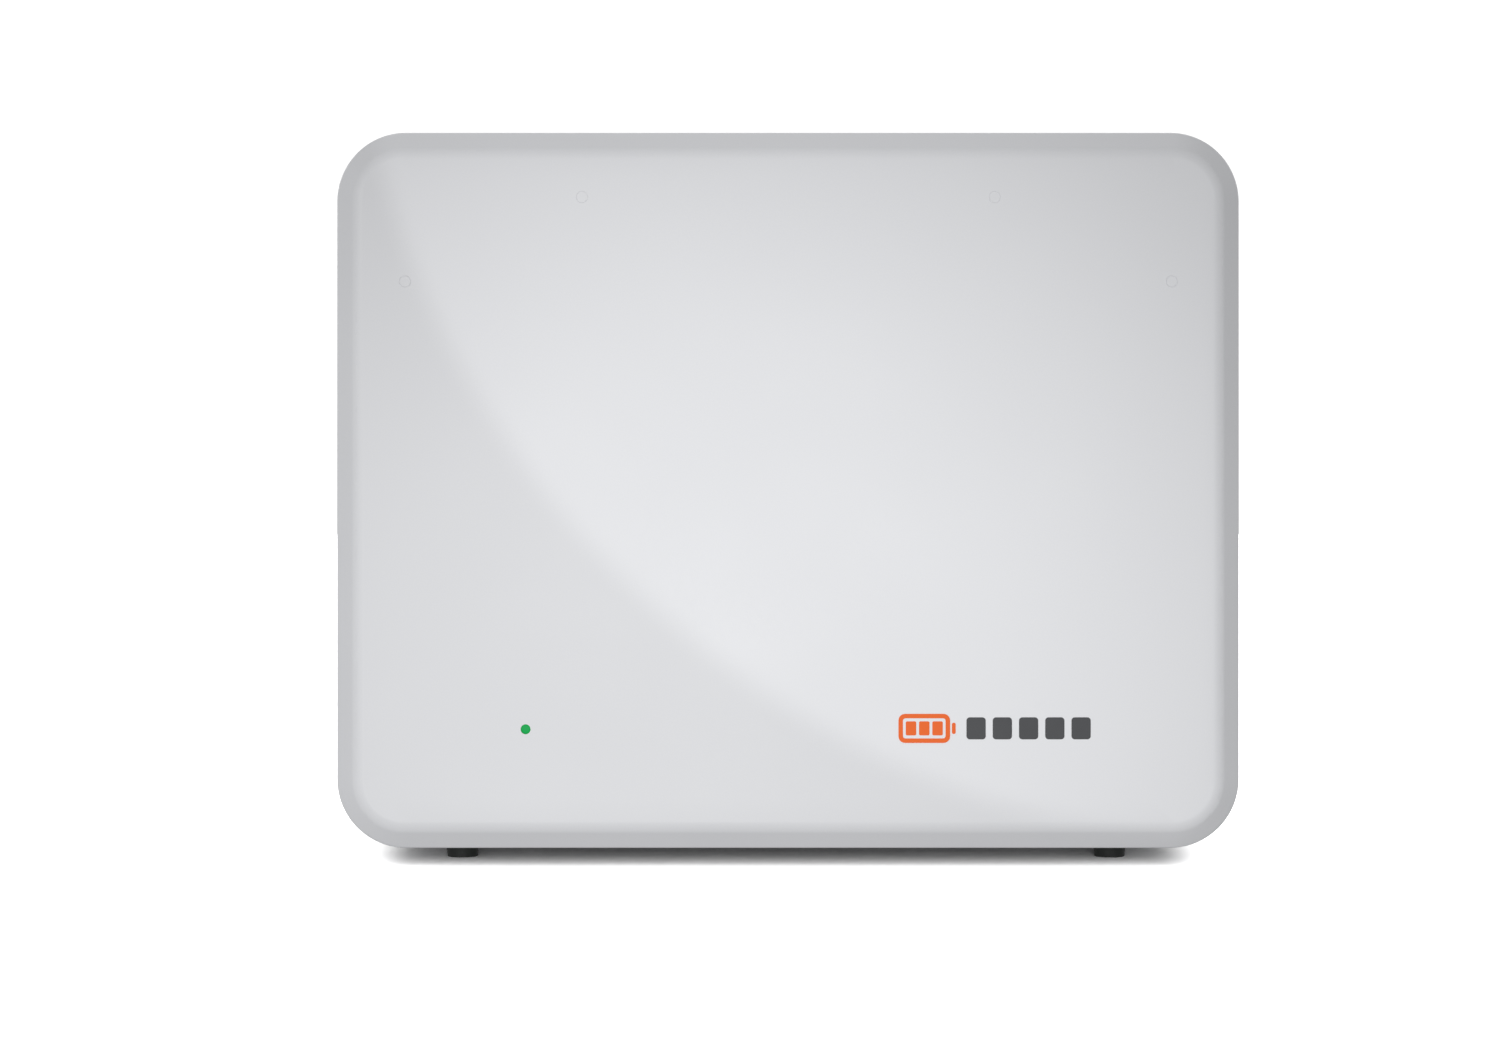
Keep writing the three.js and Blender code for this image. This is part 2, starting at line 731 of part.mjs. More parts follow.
function sealingCap() {
  const { barrel, bore, mouth } = SOCKET;
  const inside = barrel + 0.4;
  const outside = barrel + 2.4;
  return turned(
    [
      [inside, 185.6],
      [outside, 185.6],
      [outside, 194.2],
      [outside - 0.8, 194.9],
      [0, 194.9],
      [0, mouth + GAP],
      [inside, mouth + GAP],
      [inside, 185.6],
    ],
    "x",
    [0, SIDE_Y, SOCKET.zOut],
    18,
  );
}

function microinverter() {
  const back = PAN.back - PAN.sheet - GAP;
  const y = back - 24;
  const can = prism(roundedRect(0, 200, 86, 82, 10), "y", y, back, 2);
  const ribs = steps(-60, 60, 20).map((x) => box(x - 1.5, x + 1.5, y - 5, y + 1, 130, 270));
  const glands = [-50, 50].map((x) =>
    rod("z", [x, INVERTER_GLAND.y, 0], 8, INVERTER_GLAND.z + GAP, 120, 12),
  );
  return carve([can, ...ribs, ...glands]);
}

// ---------------------------------------------------------------- leads

// A bolted lug over a cell terminal, which a lead runs down from.
function lug(x, z) {
  const { back, thick, headRadius, head } = BUSBAR;
  const front = back - thick;
  return [
    rod("y", [x, 0, z], 9, front, back, 16),
    hexHead("y", [x, 0, z], headRadius, front - head, front + 0.5),
    box(x - 4, x + 4, front, back, z - 20, z),
  ];
}

function positiveLead() {
  const x = CELL_COLUMN_X - TERMINAL.offset;
  const route = [
    [x, -61.3, CELL_FIRST_Z - 17],
    [x, -61.5, 112],
    [x, -58, 96],
    [x - 1, -52, 74],
    [x - 3, -43, 50],
    [x - 3, -34, 34],
    [x - 3, -27, FUSE_LEAD_Z],
    [x - 3, -20 - GAP, FUSE_LEAD_Z],
  ];
  return carve([cable(route, 3, 14), ...lug(x, CELL_FIRST_Z)]);
}

function fuseLead() {
  return cable(
    [
      [30, 20 + GAP, FUSE_LEAD_Z],
      [30, 28, FUSE_LEAD_Z],
      [24, 38, 31],
      [6, 45, 40],
      [-35, 51, 57],
      [-90, 56, 69],
      [-126, 58, 72],
      [SWITCH_INNER_X, 58, 72],
    ],
    3,
    20,
  );
}

function negativeLead() {
  const x = -CELL_COLUMN_X + TERMINAL.offset;
  const route = [
    [x, -61.3, CELL_FIRST_Z - 17],
    [x, -61.5, 112],
    [x + 8, -52, 92],
    [x + 13, -22, 76],
    [x + 6, 10, 66],
    [-52, 38, 58],
    [-90, 54, 54],
    [-126, 58, 52],
    [SWITCH_INNER_X, 58, 52],
  ];
  return carve([cable(route, 3, 22), ...lug(x, CELL_FIRST_Z)]);
}

function inverterDcLead() {
  return cable(
    [
      [-50, INVERTER_GLAND.y, INVERTER_GLAND.z],
      [-50, INVERTER_GLAND.y, 98],
      [-58, 80, 86],
      [-86, 79, 73],
      [-120, 81, 63],
      [SWITCH_INNER_X, 82, 62],
    ],
    3.5,
    12,
  );
}

function inverterAcLead() {
  return cable(
    [
      [50, INVERTER_GLAND.y, INVERTER_GLAND.z],
      [50, INVERTER_GLAND.y, 98],
      [58, 80, 84],
      [90, 77, 62],
      [130, 74, 46],
      [148, SIDE_Y + 3.6, SOCKET.zIn],
      [SOCKET.rear - GAP, SIDE_Y + 3.6, SOCKET.zIn],
    ],
    3.2,
    15,
  );
}

function couplingLead() {
  const y = SIDE_Y - 3.6;
  return cable(
    [
      [SOCKET.rear - GAP, y, SOCKET.zIn],
      [148, y, SOCKET.zIn],
      [138, y - 1, SOCKET.zIn + 6],
      [134, y - 2, (SOCKET.zIn + SOCKET.zOut) / 2],
      [138, y - 1, SOCKET.zOut - 6],
      [148, y, SOCKET.zOut],
      [SOCKET.rear - GAP, y, SOCKET.zOut],
    ],
    3.2,
    16,
  );
}

function senseHarness() {
  return cable(
    [
      [-120, -57.3, 90],
      [-120, -60, 90],
      [-121, -63.5, 94],
      [-112, -64.5, 108],
      [-88, -64.5, 122],
      [-88, -64.5, 160],
      [-88, -64.5, 205],
      [-88, -64.5, 250],
      [-86, -64.5, 280],
    ],
    1.8,
    24,
  );
}

// ---------------------------------------------------------------- feet, bumpers, rail, wall plate

function foot(x, y) {
  const { topRadius, tipRadius, collar } = FOOT;
  return turned(
    [
      [0, 0],
      [tipRadius - 1.5, 0],
      [tipRadius - 0.4, 0.4],
      [tipRadius, 1.5],
      [topRadius, collar],
      [topRadius, PAN.bottom - GAP],
      [0, PAN.bottom - GAP],
    ],
    "z",
    [x, y, 0],
    16,
  );
}

function rearBumper(x) {
  const { radius, z } = BUMPER;
  const seat = PAN.back + GAP;
  return turned(
    [
      [0, seat],
      [radius, seat],
      [radius, WALL_Y - 3],
      [radius - 0.8, WALL_Y - 0.8],
      [radius - 3, WALL_Y],
      [0, WALL_Y],
    ],
    "y",
    [x, 0, z],
    16,
  );
}

const RAIL_SCREWS = [-110, 110];
const RAIL_SCREW_Z = 280;

function hangingRail() {
  const { halfLength, sheet, top, shelf, hookY, hookBottom } = RAIL;
  const seat = PAN.back + GAP;
  const section = polygon([
    [seat, top],
    [seat, shelf],
    [hookY, shelf],
    [hookY, hookBottom],
    [hookY + sheet, hookBottom],
    [hookY + sheet, shelf + sheet],
    [seat + sheet, shelf + sheet],
    [seat + sheet, top],
  ]);
  return prism(section, "x", -halfLength, halfLength);
}

function railScrew(x) {
  const seat = PAN.back + GAP + RAIL.sheet + GAP;
  return hexHead("y", [x, 0, RAIL_SCREW_Z], 6, seat, seat + 4);
}

function wallPlate() {
  const { halfWidth, bottom, top, lipY, lipTop, floor } = PLATE;
  const sheet = 2.5;
  const face = WALL_Y - sheet;
  const mid = (top + bottom) / 2;
  const panel = prism(roundedRect(0, mid, halfWidth, (top - bottom) / 2, 12), "y", face, WALL_Y, 2);
  const cleat = prism(
    polygon([
      [lipY, floor],
      [face + 0.5, floor],
      [face + 0.5, floor + sheet],
      [lipY + sheet, floor + sheet],
      [lipY + sheet, lipTop],
      [lipY, lipTop],
    ]),
    "x",
    -120,
    120,
  );
  const { x, zLow, zHigh, long, wide } = PLATE_SLOTS;
  const slots = [-x, x].flatMap((cx) =>
    [zLow, zHigh].map((z) =>
      prism(roundedRect(cx, z, long / 2, wide / 2, wide / 2 - 0.01), "y", face - 2, WALL_Y + 2, 2),
    ),
  );
  const lightening = [-75, -25, 25, 75].map((cx) =>
    rod("y", [cx, 0, 185], 15, face - 2, WALL_Y + 2, 16),
  );
  return carve([panel, cleat], [...slots, ...lightening]);
}

// ---------------------------------------------------------------- assembly

const unit = new THREE.Group();
unit.name = "wall_battery_unit";

function add(name, geometry, material) {
  const mesh = new THREE.Mesh(geometry, material);
  mesh.name = name;
  unit.add(mesh);
}

add("front_cover", frontCover(), MATERIAL.cover);
add("light_pipe", lightPipe(), MATERIAL.lens);
add("base_pan", basePan(), MATERIAL.chassis);
add("front_frame", frontFrame(), MATERIAL.chassis);
add("safety_screen", safetyScreen(), MATERIAL.clear);
add("trim_frame", trimFrame(), MATERIAL.trim);
FRAME_SCREWS.forEach((at, i) => add(`frame_screw_${i + 1}`, frameScrew(at), MATERIAL.zinc));
POSTS.forEach((at, i) => add(`post_grommet_${i + 1}`, postGrommet(at), MATERIAL.rubber));

const rowZ = (row) => CELL_FIRST_Z + row * CELL.pitch;
const cellPlaces = [
  ...[0, 1, 2, 3].map((row) => [-CELL_COLUMN_X, rowZ(row)]),
  ...[3, 2, 1, 0].map((row) => [CELL_COLUMN_X, rowZ(row)]),
];
cellPlaces.forEach(([x, z], i) => add(`cell_${i + 1}`, cell(x, z), MATERIAL.cellWrap));

// The links run up the left column and down the right one, from outer to inner terminals in turn.
const outer = CELL_COLUMN_X + TERMINAL.offset;
const inner = CELL_COLUMN_X - TERMINAL.offset;
const links = [
  [[-outer, rowZ(0)], [-outer, rowZ(1)]],
  [[-inner, rowZ(1)], [-inner, rowZ(2)]],
  [[-outer, rowZ(2)], [-outer, rowZ(3)]],
  [[-inner, rowZ(3)], [inner, rowZ(3)]],
  [[outer, rowZ(3)], [outer, rowZ(2)]],
  [[inner, rowZ(2)], [inner, rowZ(1)]],
  [[outer, rowZ(1)], [outer, rowZ(0)]],
];
links.forEach(([from, to], i) => add(`busbar_${i + 1}`, busbar(from, to), MATERIAL.copper));

add("cell_spacer", cellSpacer(), MATERIAL.insulator);
add("module_bottom_plate", modulePlate(MODULE_PLATE.low), MATERIAL.aluminium);
add("module_top_plate", modulePlate(MODULE_PLATE.high), MATERIAL.aluminium);
add("tie_band", tieBand(), MATERIAL.zinc);
add("management_board", managementBoard(), MATERIAL.board);
add("status_led", statusLed(), MATERIAL.lens);
add("fuse_block", fuseBlock(), MATERIAL.grey);
add("microinverter", microinverter(), MATERIAL.grey);
add("dc_switch_body", switchBody(), MATERIAL.black);
add("dc_switch_plate", switchPlate(), MATERIAL.trim);
add("dc_switch_knob", switchKnob(), MATERIAL.orange);
add("ac_in_socket", acSocket(SOCKET.zIn), MATERIAL.black);
add("ac_out_socket", acSocket(SOCKET.zOut), MATERIAL.black);
add("sealing_cap", sealingCap(), MATERIAL.rubber);
add("positive_lead", positiveLead(), MATERIAL.red);
add("negative_lead", negativeLead(), MATERIAL.black);
add("fuse_lead", fuseLead(), MATERIAL.red);
add("inverter_dc_lead", inverterDcLead(), MATERIAL.red);
add("inverter_ac_lead", inverterAcLead(), MATERIAL.black);
add("coupling_lead", couplingLead(), MATERIAL.black);
add("sense_harness", senseHarness(), MATERIAL.grey);
add("foot_front_left", foot(-FOOT.x, FOOT.frontY), MATERIAL.rubber);
add("foot_front_right", foot(FOOT.x, FOOT.frontY), MATERIAL.rubber);
add("foot_rear_left", foot(-FOOT.x, FOOT.rearY), MATERIAL.rubber);
add("foot_rear_right", foot(FOOT.x, FOOT.rearY), MATERIAL.rubber);
add("rear_bumper_left", rearBumper(-BUMPER.x), MATERIAL.rubber);
add("rear_bumper_right", rearBumper(BUMPER.x), MATERIAL.rubber);
add("hanging_rail", hangingRail(), MATERIAL.zinc);
RAIL_SCREWS.forEach((x, i) => add(`rail_screw_${i + 1}`, railScrew(x), MATERIAL.zinc));
add("wall_plate", wallPlate(), MATERIAL.zinc);

export default unit;
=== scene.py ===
# %% [markdown]
# # A wall battery unit, dressed
# The unit is a moulded cover pulled over a steel pan of cells. The frame that this script loads holds
# every part at its true size and place, one object each, in metres: +X right, +Y to the wall, +Z up.
# This lesson keeps those sizes, models the surfaces that an eye can reach again in finer mesh, and gives
# each piece the finish that the real one has.

# %% Load the frame
import math

import bmesh
import bpy
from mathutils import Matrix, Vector


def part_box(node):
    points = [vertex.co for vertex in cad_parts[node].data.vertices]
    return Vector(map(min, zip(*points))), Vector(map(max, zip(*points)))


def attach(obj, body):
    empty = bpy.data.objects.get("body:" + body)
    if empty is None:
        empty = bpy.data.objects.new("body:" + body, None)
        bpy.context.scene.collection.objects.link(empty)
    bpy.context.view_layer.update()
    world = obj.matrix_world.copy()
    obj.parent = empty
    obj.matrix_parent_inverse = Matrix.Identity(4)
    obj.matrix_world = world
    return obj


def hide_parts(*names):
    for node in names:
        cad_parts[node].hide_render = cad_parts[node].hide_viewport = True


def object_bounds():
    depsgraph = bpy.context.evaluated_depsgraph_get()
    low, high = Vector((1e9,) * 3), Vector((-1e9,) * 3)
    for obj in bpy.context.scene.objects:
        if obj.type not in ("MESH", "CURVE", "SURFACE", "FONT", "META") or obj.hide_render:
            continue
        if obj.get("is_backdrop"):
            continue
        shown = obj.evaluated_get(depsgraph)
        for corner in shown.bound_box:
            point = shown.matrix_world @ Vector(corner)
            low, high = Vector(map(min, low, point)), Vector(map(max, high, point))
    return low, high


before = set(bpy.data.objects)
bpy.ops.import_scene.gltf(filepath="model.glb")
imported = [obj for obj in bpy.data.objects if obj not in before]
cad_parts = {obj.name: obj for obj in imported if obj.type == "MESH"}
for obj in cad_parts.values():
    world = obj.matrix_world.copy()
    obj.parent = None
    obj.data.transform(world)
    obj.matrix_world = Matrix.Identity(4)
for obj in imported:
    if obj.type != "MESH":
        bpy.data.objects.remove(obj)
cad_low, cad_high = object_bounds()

MM = 0.001
box_size = [round((high - low) / MM) for low, high in zip(cad_low, cad_high)]
print("the unit measures", box_size, "mm")

# %% [markdown]
# ## The camera
# The unit is looked at straight on from one and a half metres, a little to its left and below its
# middle, so that its two front feet show. A long lens keeps the outline square.

# %% Place the camera
cover_low, cover_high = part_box("front_cover")
CAMERA_DISTANCE = 1500 * MM
camera_data = bpy.data.cameras.new("camera")
camera_data.sensor_width = 36
camera_data.lens = 84.5
camera = bpy.data.objects.new("camera", camera_data)
camera.location = (-16.3 * MM, cover_low.y - CAMERA_DISTANCE, 151.6 * MM)
camera.rotation_euler = (math.radians(90), 0, 0)
bpy.context.scene.collection.objects.link(camera)
bpy.context.scene.camera = camera

# %% [markdown]
# ## Hands
# Every piece below is made as by hand: a primitive goes in at its size and place, edit mode shapes it,
# and modifiers finish it and are applied. An operator acts on all that is selected, so each tool first
# clears the selection, and faces and edges are then picked by where they are or which way they face.


# %% Selecting
def only(piece):
    if bpy.context.object and bpy.context.object.mode != "OBJECT":
        bpy.ops.object.mode_set(mode="OBJECT")
    bpy.ops.object.select_all(action="DESELECT")
    piece.select_set(True)
    bpy.context.view_layer.objects.active = piece


def edit(piece, mode="FACE"):
    only(piece)
    bpy.ops.object.mode_set(mode="EDIT")
    bpy.ops.mesh.select_mode(type=mode)
    bpy.ops.mesh.select_all(action="DESELECT")


def leave():
    bpy.ops.object.mode_set(mode="OBJECT")


def pick_faces(test):
    mesh = bpy.context.object.data
    shape = bmesh.from_edit_mesh(mesh)
    count = 0
    for face in shape.faces:
        chosen = test(face.calc_center_median(), face.normal)
        face.select_set(chosen)
        count += chosen
    bmesh.update_edit_mesh(mesh)
    return count


def pick_edges(test):
    mesh = bpy.context.object.data
    shape = bmesh.from_edit_mesh(mesh)
    count = 0
    for edge in shape.edges:
        chosen = test(edge.verts[0].co, edge.verts[1].co)
        edge.select_set(chosen)
        count += chosen
    bmesh.update_edit_mesh(mesh)
    return count


def facing(x=0, y=0, z=0):
    """A test for faces that look along a direction."""
    way = Vector((x, y, z))
    return lambda middle, normal: normal.dot(way) > 0.99


# %% Starting and finishing a piece
def apply_place(piece):
    only(piece)
    bpy.ops.object.transform_apply(location=True, rotation=True, scale=True)


def start(name, low, high):
    """A block between two corners, in millimetres, with its place in its mesh."""
    low, high = Vector(low) * MM, Vector(high) * MM
    bpy.ops.object.select_all(action="DESELECT")
    bpy.ops.mesh.primitive_cube_add(size=1, location=(low + high) / 2)
    piece = bpy.context.object
    piece.name = name
    piece.scale = high - low
    apply_place(piece)
    return piece


def modify(piece, kind, **settings):
    """Adds a modifier, sets it and applies it."""
    only(piece)
    bpy.ops.object.modifier_add(type=kind)
    modifier = piece.modifiers[-1]
    for name, value in settings.items():
        setattr(modifier, name, value)
    bpy.ops.object.modifier_apply(modifier=modifier.name)
    return piece


def soften(piece, radius, segments=3, angle=30):
    """Rounds every edge sharper than an angle, as tooling and paint do."""
    return modify(
        piece, "BEVEL", width=radius * MM, segments=segments, limit_method="ANGLE",
        angle_limit=math.radians(angle), harden_normals=False,
    )


def smooth(piece, angle=35):
    only(piece)
    bpy.ops.object.shade_smooth_by_angle(angle=math.radians(angle))
    return modify(piece, "WEIGHTED_NORMAL", keep_sharp=True)


def cut(piece, *cutters):
    """Cuts other solids out of a piece and throws them away."""
    for cutter in cutters:
        modify(piece, "BOOLEAN", operation="DIFFERENCE", object=cutter, solver="EXACT")
        bpy.data.objects.remove(cutter)
    return piece


def weld(piece, *others):
    """Joins other meshes into a piece as one object."""
    only(piece)
    for other in others:
        other.select_set(True)
    bpy.ops.object.join()
    return piece


def twin(piece, name, offset):
    """A copy with its own mesh, moved by an offset in millimetres."""
    only(piece)
    bpy.ops.object.duplicate(linked=False)
    copy = bpy.context.object
    copy.name = name
    copy.location = Vector(offset) * MM
    apply_place(copy)
    return copy


TURN = {"x": (0, math.radians(90), 0), "y": (math.radians(90), 0, 0), "z": (0, 0, 0)}


def disc(name, axis, centre, radius, low, high, sides=48):
    """A round block along an axis between two heights, in millimetres."""
    spot = list(centre)
    spot["xyz".index(axis)] = (low + high) / 2
    bpy.ops.object.select_all(action="DESELECT")
    bpy.ops.mesh.primitive_cylinder_add(
        vertices=sides, radius=radius * MM, depth=(high - low) * MM, location=Vector(spot) * MM,
        rotation=TURN[axis],
    )
    piece = bpy.context.object
    piece.name = name
    apply_place(piece)
    return piece


def rounded_face(name, x, z, y, radii, segments=16):
    """A flat face that looks along -Y, with its four corners rounded. Radii: low corners, high corners."""
    bpy.ops.object.select_all(action="DESELECT")
    middle = Vector(((x[0] + x[1]) / 2, y, (z[0] + z[1]) / 2)) * MM
    bpy.ops.mesh.primitive_plane_add(size=1, location=middle, rotation=(math.radians(90), 0, 0))
    piece = bpy.context.object
    piece.name = name
    piece.scale = ((x[1] - x[0]) * MM, (z[1] - z[0]) * MM, 1)
    apply_place(piece)
    for high, radius in enumerate(radii):
        if radius <= 0:
            continue
        edit(piece, "VERT")
        shape = bmesh.from_edit_mesh(piece.data)
        corner_z = z[high] * MM
        for vertex in shape.verts:
            on_level = abs(vertex.co.z - corner_z) < 1e-6
            on_side = min(abs(vertex.co.x - side * MM) for side in x) < 1e-6
            vertex.select_set(on_level and on_side)
        bmesh.update_edit_mesh(piece.data)
        bpy.ops.mesh.bevel(offset=radius * MM, segments=segments, affect="VERTICES")
        leave()
    return piece


def plate(name, x, z, y, radii, segments=16):
    """A flat plate between two depths, with rounded corners."""
    piece = rounded_face(name, x, z, y[1], radii, segments)
    edit(piece)
    bpy.ops.mesh.select_all(action="SELECT")
    bpy.ops.mesh.extrude_region_move(TRANSFORM_OT_translate={"value": (0, (y[0] - y[1]) * MM, 0)})
    bpy.ops.mesh.select_all(action="SELECT")
    bpy.ops.mesh.normals_make_consistent(inside=False)
    leave()
    return piece


def dress(piece, material, slot, body, *stands_for):
    """Gives a piece its finish and its body, and hides the frame's parts that it stands for."""
    piece.data.materials.clear()
    piece.data.materials.append(material)
    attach(piece, body)
    if stands_for:
        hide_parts(*stands_for)
    return piece


# %% [markdown]
# ## More hands
# Most of what is left is sheet metal, turned pieces and small blocks. Two more helpers cover them: one
# draws a circle out along an axis, ring by ring, and the other breaks the edges of a block. A third
# gives a slot its round ends.


# %% Turned pieces, blocks and slots
def turned(name, axis, centre, profile, sides=40):
    """A round piece drawn out along an axis through (place, radius) pairs, in millimetres."""
    index = "xyz".index(axis)
    place, radius = profile[0]
    spot = Vector(centre)
    spot[index] = place
    bpy.ops.object.select_all(action="DESELECT")
    bpy.ops.mesh.primitive_circle_add(
        vertices=sides, radius=radius * MM, fill_type="NGON", location=spot * MM, rotation=TURN[axis]
    )
    piece = bpy.context.object
    piece.name = name
    apply_place(piece)
    edit(piece)
    bpy.ops.mesh.select_all(action="SELECT")
    for next_place, next_radius in profile[1:]:
        step = Vector((0, 0, 0))
        step[index] = (next_place - place) * MM
        spot[index] = next_place
        bpy.ops.mesh.extrude_region_move(TRANSFORM_OT_translate={"value": step})
        scale = [next_radius / radius] * 3
        scale[index] = 1
        bpy.ops.transform.resize(value=scale, center_override=spot * MM)
        place, radius = next_place, next_radius
    bpy.ops.mesh.select_all(action="SELECT")
    bpy.ops.mesh.normals_make_consistent(inside=False)
    leave()
    return piece


def block(name, low, high, radius=0.6, segments=2):
    return soften(start(name, low, high), radius, segments)


def slot_cutter(low, high, axis, radius):
    """A cutter whose edges along an axis are rounded, for a slot with round ends."""
    index = "xyz".index(axis)
    piece = start("slot", low, high)
    edit(piece, "EDGE")
    pick_edges(lambda a, b: abs(a[index] - b[index]) > 1e-6)
    bpy.ops.mesh.bevel(offset=radius * MM, segments=5, affect="EDGES")
    leave()
    return piece


def join_solids(piece, *others):
    """Joins solids into one skin with no walls left inside."""
    for other in others:
        modify(piece, "BOOLEAN", operation="UNION", object=other, solver="EXACT")
        bpy.data.objects.remove(other)
    return piece


def node_box(name):
    low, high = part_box(name)
    return low / MM, high / MM


def finish_cad(name, material):
    """Gives a part of the frame, whose shape is right as it is, its real finish."""
    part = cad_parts[name]
    part.data.materials.clear()
    part.data.materials.append(material)


# %% [markdown]
# ## Finishes
# A finish is a Principled shader with a little life in it: paint, plastic and metal are never one flat
# value, so a fine noise moves the colour, the roughness and the bump. Every pattern is placed by Object
# coordinates and sized in millimetres. Colours are sRGB hex codes, turned to linear light by one function.


# %% Colour and nodes
def colour(code):
    parts = [int(code[i : i + 2], 16) / 255 for i in (0, 2, 4)]
    return [p / 12.92 if p <= 0.04045 else ((p + 0.055) / 1.055) ** 2.4 for p in parts] + [1]


def add_node(tree, kind, inputs=None, **settings):
    made = tree.nodes.new("ShaderNode" + kind)
    for name, value in settings.items():
        setattr(made, name, value)
    for name, value in (inputs or {}).items():
        if isinstance(value, bpy.types.NodeSocket):
            tree.links.new(value, made.inputs[name])
        else:
            made.inputs[name].default_value = value
    return made


def blank(name, **sockets):
    """A material whose even values sit on the shader's own sockets."""
    material = bpy.data.materials.new(name)
    material.use_nodes = True
    tree = material.node_tree
    shader = tree.nodes["Principled BSDF"]
    for socket, value in sockets.items():
        shader.inputs[socket.replace("_", " ")].default_value = value
    return material, tree, shader


def grained(name, dark, light, grain, rough, bump, patch=60, stretch=(1, 1, 1), **sockets):
    """A surface of fine grain over broad, faint patches. Grain and patch are sizes in millimetres."""
    material, tree, shader = blank(name, **sockets)
    place = add_node(tree, "TexCoord").outputs["Object"]
    drawn = add_node(tree, "Mapping", {"Vector": place, "Scale": stretch}).outputs["Vector"]
    fine = add_node(tree, "TexNoise", {"Vector": drawn, "Scale": 1000 / grain, "Detail": 3.0})
    broad = add_node(tree, "TexNoise", {"Vector": place, "Scale": 1000 / patch, "Detail": 2.0})
    mixed = add_node(
        tree, "Mix", {0: 0.5, 2: fine.outputs["Fac"], 3: broad.outputs["Fac"]}, data_type="FLOAT"
    )
    tint = add_node(
        tree, "Mix", {0: mixed.outputs[0], 6: colour(dark), 7: colour(light)}, data_type="RGBA"
    )
    sheen = add_node(
        tree, "MapRange",
        {"Value": mixed.outputs[0], "From Min": 0.3, "From Max": 0.7, "To Min": rough[0], "To Max": rough[1]},
    )
    relief = add_node(
        tree, "Bump", {"Height": fine.outputs["Fac"], "Strength": 1.0, "Distance": bump * MM}
    )
    tree.links.new(tint.outputs[2], shader.inputs["Base Color"])
    tree.links.new(sheen.outputs["Result"], shader.inputs["Roughness"])
    tree.links.new(relief.outputs["Normal"], shader.inputs["Normal"])
    return material


# %% [markdown]
# The cover is a textured ABS and polycarbonate moulding: the mould is spark-eroded, which leaves an even,
# very fine grain and a satin sheen. The real grain is about 0.3 mm, and it is drawn at 0.7 mm so that it
# shows. The light pipe is clear acrylic lit from behind, and the mark is pad-printed ink, thin and matt.

# %% Finishes of the cover
textured_abs = grained(
    "textured_abs", "DADBDE", "E3E4E7", grain=0.7, rough=(0.42, 0.55), bump=0.012, patch=90, IOR=1.54
)
lit_acrylic = grained(
    "lit_acrylic", "006A30", "007236", grain=1.2, rough=(0.45, 0.55), bump=0.002, patch=6, IOR=1.3,
    Emission_Color=colour("009A46"), Emission_Strength=0.7,
)
orange_ink = grained("orange_ink", "E65C08", "EE6A12", grain=0.4, rough=(0.6, 0.7), bump=0.004, patch=12)
grey_ink = grained("grey_ink", "3E3F42", "47484B", grain=0.4, rough=(0.6, 0.7), bump=0.004, patch=12)
epdm_rubber = grained(
    "epdm_rubber", "0D110F", "1E2421", grain=0.5, rough=(0.6, 0.8), bump=0.02, patch=8, IOR=1.5
)

# %% [markdown]
# ## The cover
# The real cover is one injection moulding: sides with a little draft, so that it leaves its mould, a
# 45 degree bevel all round, and a face with a slight crown that keeps it from looking hollow. A rounded
# outline is drawn at the open rim, and two insets pull it forward, one for the sides and one for the
# bevel. The two edges are then rounded, and the face is cut into a grid and drawn out at its middle.

# %% Shape the cover's outside
RIM_Y, FRONT_Y = cover_high.y / MM, cover_low.y / MM
WALL, DRAFT, BEVEL, CROWN, CORNER = 3, 1.5, 9.1, 1.5, 31
side_x = (cover_low.x / MM, cover_high.x / MM)
side_z = (cover_low.z / MM, cover_high.z / MM)
cover_middle = Vector((0, cover_low.y, (cover_low.z + cover_high.z) / 2))
bevel_y = FRONT_Y + CROWN + BEVEL
face_y = FRONT_Y + CROWN

cover = rounded_face("cover_shell", side_x, side_z, RIM_Y, (CORNER, CORNER), segments=20)
edit(cover)
bpy.ops.mesh.select_all(action="SELECT")
bpy.ops.mesh.inset(thickness=DRAFT * MM, depth=(RIM_Y - bevel_y) * MM)
bpy.ops.mesh.inset(thickness=BEVEL * MM, depth=BEVEL * MM)
leave()


def on_level(y):
    return lambda a, b: abs(a.y - y * MM) < 1e-5 and abs(b.y - y * MM) < 1e-5


edit(cover, "EDGE")
pick_edges(on_level(face_y))
bpy.ops.mesh.bevel(offset=3.0 * MM, segments=8, affect="EDGES")
bpy.ops.mesh.select_all(action="DESELECT")
pick_edges(on_level(bevel_y))
bpy.ops.mesh.bevel(offset=0.9 * MM, segments=4, affect="EDGES")
leave()

# %% Cut the face into a grid and crown it
edit(cover)
GRID = 12
for axis, reach, centre in ((0, side_x[1], 0), (2, (side_z[1] - side_z[0]) / 2, cover_middle.z / MM)):
    for step in range(1, int(2 * reach // GRID)):
        spot = Vector((0, 0, 0))
        spot[axis] = (centre - reach + step * GRID) * MM
        normal = Vector((0, 0, 0))
        normal[axis] = 1
        pick_faces(lambda middle, facing_way: facing_way.y < -0.999)
        bpy.ops.mesh.bisect(plane_co=spot, plane_no=normal)
leave()
edit(cover, "VERT")
shape = bmesh.from_edit_mesh(cover.data)
nearest = min(shape.verts, key=lambda v: (v.co - cover_middle).length)
nearest.select_set(True)
bmesh.update_edit_mesh(cover.data)
bpy.ops.transform.translate(
    value=(0, -CROWN * MM, 0), use_proportional_edit=True, proportional_edit_falloff="SMOOTH",
    proportional_size=170 * MM,
)
leave()
print("cover faces:", len(cover.data.polygons), "front at", min(v.co.y for v in cover.data.vertices) / MM)

# %% [markdown]
# The outside becomes a 3 mm wall. The mould also forms the slots that the feet slide out of, air slots
# in the bottom, the hole for the light and the four posts. Where a post meets the face, the cooling
# plastic leaves a faint ring on the outside.

